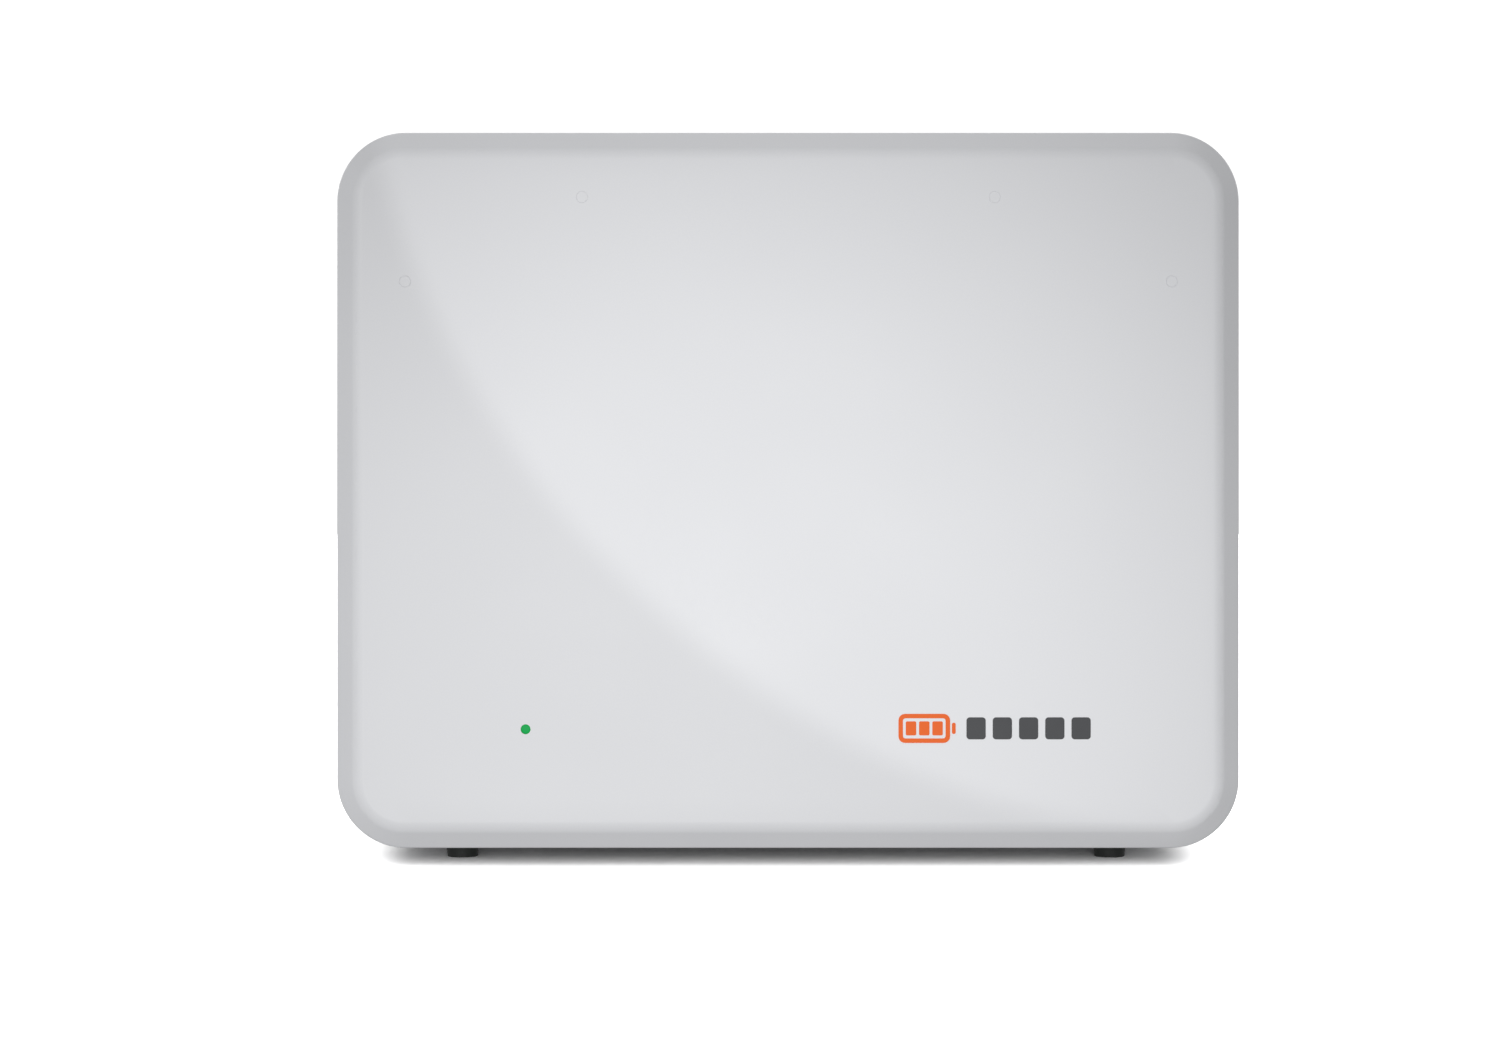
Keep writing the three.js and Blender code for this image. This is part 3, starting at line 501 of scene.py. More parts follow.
# %% Give the cover its wall, slots, hole and posts
modify(cover, "SOLIDIFY", thickness=WALL * MM, offset=-1, use_even_offset=True, use_rim=True)

light_low, light_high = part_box("light_pipe")
light = (light_low + light_high) / 2 / MM
BOTTOM = side_z[0]
LIGHT_HOLE = 2.12
cutters = [disc("hole", "y", (light.x, 0, light.z), LIGHT_HOLE, FRONT_Y - 5, FRONT_Y + 10)]
for name in ("foot_front_left", "foot_front_right"):
    low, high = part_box(name)
    x = (low.x + high.x) / 2 / MM
    slot_front = low.y / MM - 5.1
    cutters.append(start("slot", (x - 10, slot_front, BOTTOM - 5), (x + 10, RIM_Y + 5, BOTTOM + 5)))
for x in range(-105, 106, 42):
    for y in (-50, -38):
        slot = start("slot", (x - 16, y, BOTTOM - 5), (x + 16, y + 4, BOTTOM + 6))
        edit(slot, "EDGE")
        pick_edges(lambda a, b: abs(a.z - b.z) > 5 * MM)
        bpy.ops.mesh.bevel(offset=1.9 * MM, segments=5, affect="EDGES")
        leave()
        cutters.append(slot)
cut(cover, *cutters)

grommets = [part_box(f"post_grommet_{i}") for i in range(1, 5)]
posts = [(low + high) / 2 / MM for low, high in grommets]
for index, post in enumerate(posts):
    shaft = disc("post", "y", (post.x, 0, post.z), 4.5, FRONT_Y + WALL - 0.4, -74, sides=32)
    edit(shaft)
    pick_faces(facing(y=1))
    bpy.ops.mesh.inset(thickness=2.1 * MM)
    bpy.ops.mesh.extrude_region_move(TRANSFORM_OT_translate={"value": (0, 11.2 * MM, 0)})
    bpy.ops.mesh.inset(thickness=0.8 * MM, depth=0.8 * MM)
    leave()
    ribs = []
    for dx, dz in ((1, 0), (-1, 0), (0, 1), (0, -1)):
        ribs.append(
            start(
                "rib",
                (post.x + dx * 6 - (1 if dz else 2.5), FRONT_Y + WALL - 0.4, post.z + dz * 6 - (1 if dx else 2.5)),
                (post.x + dx * 6 + (1 if dz else 2.5), FRONT_Y + WALL + 14, post.z + dz * 6 + (1 if dx else 2.5)),
            )
        )
    bpy.ops.object.select_all(action="DESELECT")
    ring_y = face_y - 0.02 - CROWN * 0.02
    bpy.ops.mesh.primitive_torus_add(
        location=(post.x * MM, ring_y * MM, post.z * MM), rotation=TURN["y"], major_segments=40,
        minor_segments=8, major_radius=2.4 * MM, minor_radius=0.16 * MM,
    )
    ring = bpy.context.object
    apply_place(ring)
    weld(cover, shaft, *ribs, ring)
smooth(cover)
dress(cover, textured_abs, "cover_plastic", "cover", "front_cover")
print("cover done:", len(cover.data.polygons), "faces")

# %% [markdown]
# ## The status light
# A light pipe is a clear moulded rod with a domed nose, which carries the lamp's glow from the board to
# the face. Its nose stops just below the surface and sits a little to one side of its hole, as such a
# loose fit does, so that a thin dark crescent shows.

# %% Model the light pipe
lens_y, pipe_end = light_low.y / MM, light_high.y / MM
LENS_RADIUS = 1.9
lens_at = Vector((light.x + 0.13, 0, light.z + 0.09))
collar_y = lens_y + WALL + 0.1
lens = turned(
    "status_lens", "y", lens_at,
    [(lens_y + 0.1, 0.5), (lens_y + 0.13, 1.0), (lens_y + 0.2, 1.5), (lens_y + 0.3, LENS_RADIUS), (collar_y, LENS_RADIUS),
     (collar_y, 4.4), (collar_y + 1.4, 4.4), (collar_y + 1.4, 2.4), (pipe_end, 2.4)], sides=48,
)
smooth(lens, 40)
dress(lens, lit_acrylic, "status_green", "cover", "light_pipe")

# %% [markdown]
# ## The printed mark
# A small print sits low on the right of the face. Here it is a plain battery sign in orange and a gauge
# of five grey bars, which say what the box is and nothing else. Ink is only a few hundredths of a
# millimetre thick, so each stroke is a thin plate let into the face and softened at its edge.

# %% Print the sign
MARK_LEFT, MARK_RIGHT, MARK_Z = 47, 129, 63.4
SIGN_WIDTH, SIGN_HALF, STROKE = 22, 6.2, 1.9
INK = 0.06


def face_at(x, z):
    """How far forward the crowned face is, found by a ray from the front."""
    hit, spot, _, _ = cover.ray_cast(Vector((x * MM, 2 * cover_low.y, z * MM)), Vector((0, 1, 0)))
    return spot.y / MM if hit else face_y


def print_stroke(name, x, z, radius):
    """A stroke of ink that stands just proud of the face at its most forward corner."""
    face = min(face_at(end, level) for end in x for level in z)
    return plate(name, x, z, (face - INK, face + 0.4), (radius, radius), segments=5)


sign_right = MARK_LEFT + SIGN_WIDTH
icon = print_stroke("mark_icon", (MARK_LEFT, sign_right), (MARK_Z - SIGN_HALF, MARK_Z + SIGN_HALF), 2.8)
hollow = slot_cutter(
    (MARK_LEFT + STROKE, FRONT_Y - 10, MARK_Z - SIGN_HALF + STROKE),
    (sign_right - STROKE, FRONT_Y + 20, MARK_Z + SIGN_HALF - STROKE), "y", 1.1,
)
cut(icon, hollow)
cap = print_stroke("cap", (sign_right + 0.8, sign_right + 2.4), (MARK_Z - 2.4, MARK_Z + 2.4), 0.7)
FILLS = 3
fill_pitch = (SIGN_WIDTH - 2 * STROKE - 1.2) / FILLS
fills = []
for i in range(FILLS):
    left = MARK_LEFT + STROKE + 1.2 + i * fill_pitch
    fills.append(print_stroke("fill", (left, left + fill_pitch - 1.2), (MARK_Z - 3, MARK_Z + 3), 0.6))
weld(icon, cap, *fills)
dress(icon, orange_ink, "knob_orange", "cover")

BAR_COUNT, BAR_GAP, BAR_HALF_HEIGHT = 5, 3, 4.7
bar_left = sign_right + 7
pitch = (MARK_RIGHT - bar_left + BAR_GAP) / BAR_COUNT
bars = []
for i in range(BAR_COUNT):
    left = bar_left + i * pitch
    height = (MARK_Z - BAR_HALF_HEIGHT, MARK_Z + BAR_HALF_HEIGHT)
    bars.append(print_stroke(f"mark_bar_{i + 1}", (left, left + pitch - BAR_GAP), height, 1.4))
weld(bars[0], *bars[1:])
bars[0].name = "mark_bars"
dress(bars[0], grey_ink, "grey_plastic", "cover")
print("the print is", round(MARK_RIGHT - MARK_LEFT), "mm wide")

# %% [markdown]
# ## The feet
# A foot is a tapered rubber plug, moulded hollow at its tip so that it grips like a cup, with a small
# collar under the pan.

# %% Model the feet
FOOT_COLLAR = 10
for name in ("foot_front_left", "foot_front_right", "foot_rear_left", "foot_rear_right"):
    low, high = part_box(name)
    centre = (low + high) / 2 / MM
    radius = (high.x - low.x) / 2 / MM
    top = high.z / MM
    tip = radius - 1.05
    foot = turned(
        name + "_rubber", "z", centre,
        [(0.5, tip - 3), (0, tip - 3.4), (0, tip - 0.5), (0.15, tip - 0.15), (0.5, tip), (FOOT_COLLAR, radius),
         (top - 1.6, radius), (top - 1.2, radius + 1), (top, radius + 1)],
    )
    smooth(foot)
    dress(foot, epdm_rubber, "rubber_black", "chassis", name)

# %% [markdown]
# ## Metal finishes
# Powder coat cures with a faint orange peel a millimetre or so across. Hot-dip zinc freezes into flat
# crystals, the spangle, which a cell pattern draws, each cell a little lighter or darker and rougher.
# Rolled and brushed metals carry hair lines along one way, drawn by stretching a noise. A metal's colour
# is its base colour, and it keeps the default IOR.


# %% Metals and paint
def spangled(name, dark, light, crystal, rough):
    """Zinc crystals: flat cells of slightly different brightness, over a fine mottle."""
    material, tree, shader = blank(name, Metallic=1.0)
    place = add_node(tree, "TexCoord").outputs["Object"]
    cells = add_node(tree, "TexVoronoi", {"Vector": place, "Scale": 1000 / crystal})
    mottle = add_node(tree, "TexNoise", {"Vector": place, "Scale": 1000 / (crystal * 6), "Detail": 5.0})
    grey = add_node(tree, "RGBToBW", {"Color": cells.outputs["Color"]})
    mixed = add_node(
        tree, "Mix", {0: 0.55, 2: grey.outputs["Val"], 3: mottle.outputs["Fac"]}, data_type="FLOAT"
    )
    tint = add_node(
        tree, "Mix", {0: mixed.outputs[0], 6: colour(dark), 7: colour(light)}, data_type="RGBA"
    )
    sheen = add_node(
        tree, "MapRange", {"Value": mixed.outputs[0], "To Min": rough[0], "To Max": rough[1]}
    )
    relief = add_node(tree, "Bump", {"Height": mixed.outputs[0], "Strength": 0.6, "Distance": 0.02 * MM})
    tree.links.new(tint.outputs[2], shader.inputs["Base Color"])
    tree.links.new(sheen.outputs["Result"], shader.inputs["Roughness"])
    tree.links.new(relief.outputs["Normal"], shader.inputs["Normal"])
    return material


powder_coat = grained(
    "powder_coated_steel", "54585C", "626669", grain=1.3, rough=(0.48, 0.62), bump=0.03, patch=70, IOR=1.5
)
hot_dip_zinc = spangled("hot_dip_galvanised_steel", "8C9094", "ABAFB2", crystal=9, rough=(0.38, 0.55))
zinc_plate = grained(
    "zinc_plated_steel", "A9ADB3", "C6C9CD", grain=0.5, rough=(0.22, 0.36), bump=0.006, patch=5, Metallic=1.0
)
brushed_aluminium = grained(
    "brushed_aluminium", "B4B7BA", "D2D4D6", grain=0.5, rough=(0.28, 0.42), bump=0.008, patch=30,
    stretch=(0.04, 1, 1), Metallic=1.0,
)
rolled_copper = grained(
    "rolled_copper", "A8653F", "C98A5E", grain=0.4, rough=(0.25, 0.4), bump=0.006, patch=14,
    stretch=(1, 1, 0.06), Metallic=1.0,
)
moulded_black = grained(
    "moulded_black_abs", "17191A", "242627", grain=0.6, rough=(0.5, 0.64), bump=0.014, patch=40, IOR=1.54
)

# %% [markdown]
# ## The pan
# One steel sheet, two millimetres thick, is folded into a tray with welded corners and powder coated.
# It is modelled as the tray's outside, opened at the front and given its thickness inwards. The edge
# of the back wall is rounded, as a brake press leaves it. Long beads are pressed into the back wall,
# because a flat sheet this size would drum.

# %% Fold the pan
pan_low, pan_high = node_box("base_pan")
PAN_SHEET, PAN_TOP_CORNER, PAN_LOW_CORNER = 2, 6, 14
pan_x, pan_z = (pan_low.x, pan_high.x), (pan_low.z, pan_high.z)
pan_corners = (PAN_LOW_CORNER, PAN_TOP_CORNER)
pan = plate("steel_pan", pan_x, pan_z, (pan_low.y, pan_high.y), pan_corners, segments=12)
edit(pan)
pick_faces(facing(y=-1))
bpy.ops.mesh.delete(type="FACE")
bpy.ops.mesh.select_mode(type="EDGE")
pick_edges(lambda a, b: min(a.y, b.y) > (pan_high.y - 0.1) * MM)
bpy.ops.mesh.bevel(offset=1.6 * MM, segments=5, affect="EDGES")
leave()
modify(pan, "SOLIDIFY", thickness=PAN_SHEET * MM, offset=-1, use_even_offset=True, use_rim=True)

beads = []
for z in (76, 104, 132, 160, 188, 216):
    bead = plate("bead", (-118, 118), (z - 5, z + 5), (pan_high.y - 1, pan_high.y + 1.6), (4.9, 4.9), segments=8)
    edit(bead, "EDGE")
    pick_edges(lambda a, b: min(a.y, b.y) > (pan_high.y + 1.5) * MM)
    bpy.ops.mesh.bevel(offset=1.5 * MM, segments=4, affect="EDGES")
    leave()
    beads.append(bead)
join_solids(pan, *beads)

# %% Shelf, board rails and screw lugs
shelf_z = 104.2
shelf = block("shelf", (pan_low.x + 1, -50, shelf_z), (pan_high.x - 1, 58, shelf_z + PAN_SHEET), 0.5)
rails = [block("rail", (x - 6, -46, pan_low.z + 1), (x + 6, -44, shelf_z + 1), 0.5) for x in (-160, -42)]
screws = [node_box(f"frame_screw_{i}") for i in range(1, 5)]
screw_spots = [((low + high) / 2) for low, high in screws]
lugs = []
for spot in screw_spots:
    side = 1 if spot.x > 0 else -1
    level = 1 if spot.z > 160 else -1
    ends_x = sorted((side * (pan_high.x - 1), spot.x - side * 7))
    ends_z = sorted(((pan_high.z if level > 0 else pan_low.z) - level, spot.z - level * 7))
    lug = start("lug", (ends_x[0], pan_low.y, ends_z[0]), (ends_x[1], pan_low.y + 6, ends_z[1]))
    edit(lug, "EDGE")
    corner = Vector((side * (pan_high.x - 1), 0, ((pan_high.z if level > 0 else pan_low.z) - level))) * MM
    pick_edges(lambda a, b: abs(a.x - corner.x) + abs(a.z - corner.z) + abs(b.x - corner.x) + abs(b.z - corner.z) < 1e-5)
    bpy.ops.mesh.bevel(offset=(PAN_TOP_CORNER if level > 0 else PAN_LOW_CORNER) * 0.9 * MM, segments=6, affect="EDGES")
    leave()
    lugs.append(lug)
rivets = []
for side in (-1, 1):
    for y in (-30, 4, 38):
        edge = side * pan_high.x
        rivets.append(
            turned("rivet", "x", (0, y, shelf_z + 6), [(edge - side, 3.2), (edge + side * 0.2, 3.2), (edge + side * 0.8, 2.5), (edge + side * 1.1, 1.2)], sides=20)
        )
join_solids(pan, shelf, *rails, *lugs)

# %% Cut its air slots and holes
vents = []
for x in range(-120, 121, 40):
    for y in (64, 76):
        vents.append(slot_cutter((x - 15, y, pan_high.z - 4), (x + 15, y + 4, pan_high.z + 4), "z", 1.9))
    vents.append(slot_cutter((x - 15, 20, pan_low.z - 4), (x + 15, 24, pan_low.z + 4), "z", 1.9))
switch_low, switch_high = node_box("dc_switch_plate")
switch_y, switch_z = (switch_low.y + switch_high.y) / 2, (switch_low.z + switch_high.z) / 2
holes = [disc("hole", "x", (0, switch_y, switch_z), 11, pan_low.x - 5, pan_low.x + 5)]
sockets = {name: node_box(name) for name in ("ac_in_socket", "ac_out_socket")}
for low, high in sockets.values():
    centre = (low + high) / 2
    holes.append(disc("hole", "x", (0, centre.y, centre.z), 12, pan_high.x - 5, pan_high.x + 5))
for spot in screw_spots:
    holes.append(disc("hole", "y", (spot.x, 0, spot.z), 2.2, -80, -55, sides=24))
cut(pan, *vents, *holes)
weld(pan, *rivets)
smooth(pan, 30)
dress(pan, powder_coat, "chassis_paint", "chassis", "base_pan")
print("pan:", len(pan.data.polygons), "faces")

# %% [markdown]
# ## The trim frame
# A black moulded frame fills the gap between the cover's rim and the pan. Its slots let the cooling air
# out at the top and sides, and a tongue locates the cover.

# %% Mould the trim frame
lip = plate("trim_ring", side_x, side_z, (40.3, 44), (CORNER, CORNER), segments=20)
edit(lip, "EDGE")
pick_edges(lambda a, b: min(a.y, b.y) > 43.9 * MM)
bpy.ops.mesh.bevel(offset=1.2 * MM, segments=4, affect="EDGES")
leave()
tongue_in = WALL + 0.7
tongue = plate(
    "tongue", (side_x[0] + tongue_in, side_x[1] - tongue_in), (side_z[0] + tongue_in, side_z[1] - tongue_in),
    (33, 41), (CORNER - tongue_in, CORNER - tongue_in), segments=16,
)
join_solids(lip, tongue)
hollow = plate(
    "hollow", (pan_low.x - 0.3, pan_high.x + 0.3), (pan_low.z - 0.3, pan_high.z + 0.3), (20, 60),
    (PAN_LOW_CORNER + 0.3, PAN_TOP_CORNER + 0.3), segments=12,
)
slots = [slot_cutter((x - 18, 20, 310.5), (x + 18, 60, 314.5), "y", 1.9) for x in range(-135, 136, 45)]
for z in range(60, 271, 42):
    for side in (-1, 1):
        x = side * 186.2
        slots.append(slot_cutter((x - 2, 20, z - 16), (x + 2, 60, z + 16), "y", 1.9))
cut(lip, hollow, *slots)
smooth(lip, 30)
dress(lip, moulded_black, "trim_black", "chassis", "trim_frame")
print("trim ring:", len(lip.data.polygons), "faces")

# %% [markdown]
# ## What holds it to the wall
# A flat steel plate is screwed to the wall, and a cleat welded across it takes the unit's own folded
# rail, which drops over it from above. Both are cut and folded from galvanised sheet, so their corners
# are rounded and their folds have a radius. A fold is an edge with a bevel, put on before the sheet gets
# its thickness.


# %% Fold sheet metal
def folded(name, x, path, sheet, fold=2.2):
    """A strip that follows (y, z) points across the unit. The path is the sheet's middle."""
    bpy.ops.object.select_all(action="DESELECT")
    bpy.ops.mesh.primitive_plane_add(size=1, location=(0, 0, 0))
    piece = bpy.context.object
    piece.name = name
    (y0, z0), (y1, z1) = path[:2]
    ends = ((x[0], y0, z0), (x[1], y0, z0), (x[0], y1, z1), (x[1], y1, z1))
    for vertex, spot in zip(piece.data.vertices, ends):
        vertex.co = Vector(spot) * MM
    edit(piece, "EDGE")
    for (y0, z0), (y1, z1) in zip(path[1:], path[2:]):
        bpy.ops.mesh.select_all(action="DESELECT")
        pick_edges(lambda a, b: abs(a.y - y0 * MM) + abs(b.y - y0 * MM) + abs(a.z - z0 * MM) + abs(b.z - z0 * MM) < 1e-6)
        bpy.ops.mesh.extrude_edges_move(TRANSFORM_OT_translate={"value": (0, (y1 - y0) * MM, (z1 - z0) * MM)})
    bpy.ops.mesh.select_all(action="DESELECT")
    inner = path[1:-1]
    pick_edges(
        lambda a, b: any(
            abs(a.y - y * MM) + abs(b.y - y * MM) + abs(a.z - z * MM) + abs(b.z - z * MM) < 1e-6 for y, z in inner
        )
    )
    bpy.ops.mesh.bevel(offset=fold * MM, segments=5, affect="EDGES")
    bpy.ops.mesh.select_all(action="SELECT")
    bpy.ops.mesh.normals_make_consistent(inside=False)
    leave()
    modify(piece, "SOLIDIFY", thickness=sheet * MM, offset=0, use_even_offset=True, use_rim=True)
    return soften(piece, 0.35, 2, angle=50)


# %% Wall plate with its cleat
plate_low, plate_high = node_box("wall_plate")
SHEET = 2.5
plate_face = plate_high.y - SHEET
wall_panel = plate(
    "wall_panel", (plate_low.x, plate_high.x), (plate_low.z, plate_high.z), (plate_face, plate_high.y), (12, 12),
    segments=12,
)
slots = [
    slot_cutter((x - 10, plate_face - 2, z - 3.5), (x + 10, plate_high.y + 2, z + 3.5), "y", 3.4)
    for x in (-100, 100)
    for z in (150, 304)
]
rounds = [disc("round", "y", (x, 0, 185), 15, plate_face - 2, plate_high.y + 2) for x in (-75, -25, 25, 75)]
cut(wall_panel, *slots, *rounds)
soften(wall_panel, 0.4, 2, angle=50)
lip_y, lip_top, cleat_floor = plate_low.y, 261.7, 238
half = SHEET / 2
cleat = folded(
    "cleat", (-120, 120), [(plate_face + 0.4, cleat_floor + half), (lip_y + half, cleat_floor + half), (lip_y + half, lip_top)],
    SHEET,
)
beads = []
for x in range(-105, 106, 42):
    bead = turned(
        "weld_bead", "x", (0, plate_face - 0.4, cleat_floor + SHEET + 0.4),
        [(x - 9, 0.4), (x - 8.4, 1.3), (x - 5, 1.6), (x, 1.3), (x + 5, 1.6), (x + 8.4, 1.3), (x + 9, 0.4)], sides=12,
    )
    beads.append(bead)
weld(wall_panel, cleat, *beads)
smooth(wall_panel, 30)
dress(wall_panel, hot_dip_zinc, "zinc_steel", "wall_bracket", "wall_plate")

# %% Hanging rail and its screws
rail_low, rail_high = node_box("hanging_rail")
rail_seat, hook_y = rail_low.y + half, rail_high.y - half
rail = folded(
    "folded_rail", (rail_low.x, rail_high.x),
    [(rail_seat, rail_high.z), (rail_seat, 262 + half), (hook_y, 262 + half), (hook_y, rail_low.z)], SHEET,
)
smooth(rail, 30)
dress(rail, hot_dip_zinc, "zinc_steel", "chassis", "hanging_rail")
for i in (1, 2):
    low, high = node_box(f"rail_screw_{i}")
    spot = (low + high) / 2
    washer = turned("washer", "y", spot, [(low.y, 7.6), (low.y + 0.9, 7.6), (low.y + 1.2, 7.3)], sides=36)
    head = turned(f"rail_bolt_{i}", "y", spot, [(low.y + 1.1, 5.6), (high.y - 0.5, 5.6), (high.y, 4.8)], sides=6)
    dimple = turned("dimple", "y", spot, [(high.y - 0.4, 2.6), (high.y + 1, 3.6)], sides=24)
    soften(head, 0.25, 2, angle=40)
    cut(head, dimple)
    weld(head, washer)
    smooth(head, 30)
    dress(head, zinc_plate, "zinc_steel", "chassis", f"rail_screw_{i}")

# %% [markdown]
# ## Bumpers
# Two rubber buttons keep the foot of the unit off the wall. They are moulded with a rounded nose and two
# shallow rings that let them give.

# %% Turn the bumpers
for name in ("rear_bumper_left", "rear_bumper_right"):
    low, high = node_box(name)
    spot = (low + high) / 2
    radius = (high.x - low.x) / 2
    profile = [
        (low.y, radius), (low.y + 1.5, radius), (low.y + 2, radius - 0.8), (low.y + 3.2, radius - 0.8),
        (low.y + 3.7, radius), (low.y + 5.5, radius), (low.y + 6, radius - 0.8), (low.y + 7.2, radius - 0.8),
        (low.y + 7.7, radius), (high.y - 3, radius), (high.y - 1.6, radius - 0.4), (high.y - 0.6, radius - 1.4),
        (high.y - 0.1, radius - 2.8), (high.y, radius - 4.2), (high.y, 3.4), (high.y - 0.9, 3.0),
    ]
    button = turned(name + "_rubber", "y", spot, profile, sides=48)
    smooth(button, 50)
    dress(button, epdm_rubber, "rubber_black", "chassis", name)
print("wall side done")

# %% [markdown]
# ## The isolator
# A rotary switch on the left side breaks the battery's positive line. Its plate is a black moulding
# with a 0 and a 1, and its knob is an orange handle on a fluted disc. The grip stands upright while
# the switch is on. The knob's body is made as one solid, so that the grip grows out of the disc.

# %% Plastics of the controls
orange_pbt = grained(
    "orange_pbt", "D9641A", "E97A2B", grain=0.6, rough=(0.36, 0.48), bump=0.01, patch=12, IOR=1.55
)
white_ink = grained("white_ink", "E4E4E0", "F2F2EE", grain=0.4, rough=(0.5, 0.6), bump=0.004, patch=8)
black_pa66 = grained("black_pa66", "141517", "202224", grain=0.5, rough=(0.42, 0.56), bump=0.012, patch=20)
brass_pin = grained(
    "nickel_plated_brass", "B9B39C", "D8D3BE", grain=0.4, rough=(0.2, 0.32), bump=0.004, patch=4, Metallic=1.0
)

# %% Switch plate with its two positions
plate_back, plate_front = switch_high.x, switch_low.x
half_plate = (switch_high.y - switch_low.y) / 2
escutcheon = start(
    "switch_escutcheon", (plate_front, switch_low.y, switch_low.z), (plate_back, switch_high.y, switch_high.z)
)
edit(escutcheon, "EDGE")
pick_edges(lambda a, b: abs(a.x - b.x) > 1e-4)
bpy.ops.mesh.bevel(offset=4 * MM, segments=8, affect="EDGES")
bpy.ops.mesh.select_all(action="DESELECT")
pick_edges(lambda a, b: max(a.x, b.x) < (plate_front + 0.1) * MM)
bpy.ops.mesh.bevel(offset=0.6 * MM, segments=3, affect="EDGES")
leave()
cut(escutcheon, disc("hole", "x", (0, switch_y, switch_z), 11, plate_front - 5, plate_back + 5, sides=64))
fixings = []
for dy, dz in ((19, 19), (-19, -19), (19, -19), (-19, 19)):
    recess = disc("recess", "x", (0, switch_y + dy, switch_z + dz), 2.2, plate_front - 1, plate_front + 0.5, sides=24)
    cut(escutcheon, recess)
    fixings.append(
        turned("pin", "x", (0, switch_y + dy, switch_z + dz), [(plate_front + 0.7, 1.8), (plate_front + 0.25, 1.8), (plate_front + 0.1, 1.2)], sides=24)
    )
weld(escutcheon, *fixings)
smooth(escutcheon, 30)
dress(escutcheon, black_pa66, "trim_black", "chassis", "dc_switch_plate")

one = block("position_one", (plate_front - 0.08, switch_y - 0.7, switch_z + 18.9), (plate_front + 0.2, switch_y + 0.7, switch_z + 22.9), 0.05)
bpy.ops.object.select_all(action="DESELECT")
bpy.ops.mesh.primitive_torus_add(
    location=Vector((plate_front + 0.1, switch_y - 20.8, switch_z)) * MM, rotation=TURN["x"], major_segments=32,
    minor_segments=8, major_radius=1.7 * MM, minor_radius=0.45 * MM,
)
zero = bpy.context.object
apply_place(zero)
edit(zero)
bpy.ops.mesh.select_all(action="SELECT")
zero_spot = Vector((plate_front + 0.1, switch_y - 20.8, switch_z)) * MM
bpy.ops.transform.resize(value=(0.4, 1, 1.2), center_override=zero_spot)
leave()
weld(one, zero)
one.name = "switch_positions"
smooth(one, 30)
dress(one, white_ink, "insulator", "chassis")

# %% Knob
knob_low, knob_high = node_box("dc_switch_knob")
knob_y, knob_z = (knob_low.y + knob_high.y) / 2, (knob_low.z + knob_high.z) / 2
KNOB_RADIUS, KNOB_FACE, KNOB_BACK = 18, knob_low.x + 6.5, knob_low.x + 11.5
knob = turned(
    "isolator_handle", "x", (0, knob_y, knob_z),
    [(KNOB_BACK, KNOB_RADIUS - 0.6), (KNOB_BACK - 0.6, KNOB_RADIUS), (KNOB_FACE + 1.2, KNOB_RADIUS),
     (KNOB_FACE + 0.4, KNOB_RADIUS - 0.5), (KNOB_FACE, KNOB_RADIUS - 1.6)], sides=72,
)
flutes = []
for i in range(24):
    angle = math.radians(360 / 24 * (i + 0.5))
    at = (0, knob_y + math.cos(angle) * 18.9, knob_z + math.sin(angle) * 18.9)
    flutes.append(disc("flute", "x", at, 1.5, KNOB_FACE - 2, KNOB_BACK + 2, sides=16))
weld(flutes[0], *flutes[1:])
grip = start("grip", (knob_low.x, knob_y - 5, knob_z - 17), (KNOB_FACE + 1.5, knob_y + 5, knob_z + 17))
edit(grip, "EDGE")
pick_faces(facing(x=-1))
bpy.ops.transform.resize(value=(1, 0.72, 0.94), center_override=Vector((knob_low.x, knob_y, knob_z)) * MM)
bpy.ops.mesh.select_all(action="SELECT")
bpy.ops.mesh.bevel(offset=2.2 * MM, segments=6, affect="EDGES")
leave()
grip_fit = [node_box("dc_switch_knob")]
shaft = disc("shaft", "x", (0, knob_y, knob_z), 4, KNOB_BACK - 1, knob_high.x, sides=32)
join_solids(knob, grip, shaft)
cut(knob, flutes[0])
smooth(knob, 32)
dress(knob, orange_pbt, "knob_orange", "isolator_knob", "dc_switch_knob")
pointer = block("knob_pointer", (knob_low.x - 0.04, knob_y - 0.7, knob_z + 6), (knob_low.x + 0.4, knob_y + 0.7, knob_z + 13.5), 0.03)
dress(pointer, white_ink, "insulator", "isolator_knob")

# %% [markdown]
# ## The mains sockets
# Two round sockets sit low on the right side, one for the lead from the wall and one to carry on to the
# next unit. Each is a flange and a barrel with a coarse thread, and three plated pins stand in its
# mouth. The one that isn't in use wears a rubber cap with finger ribs.

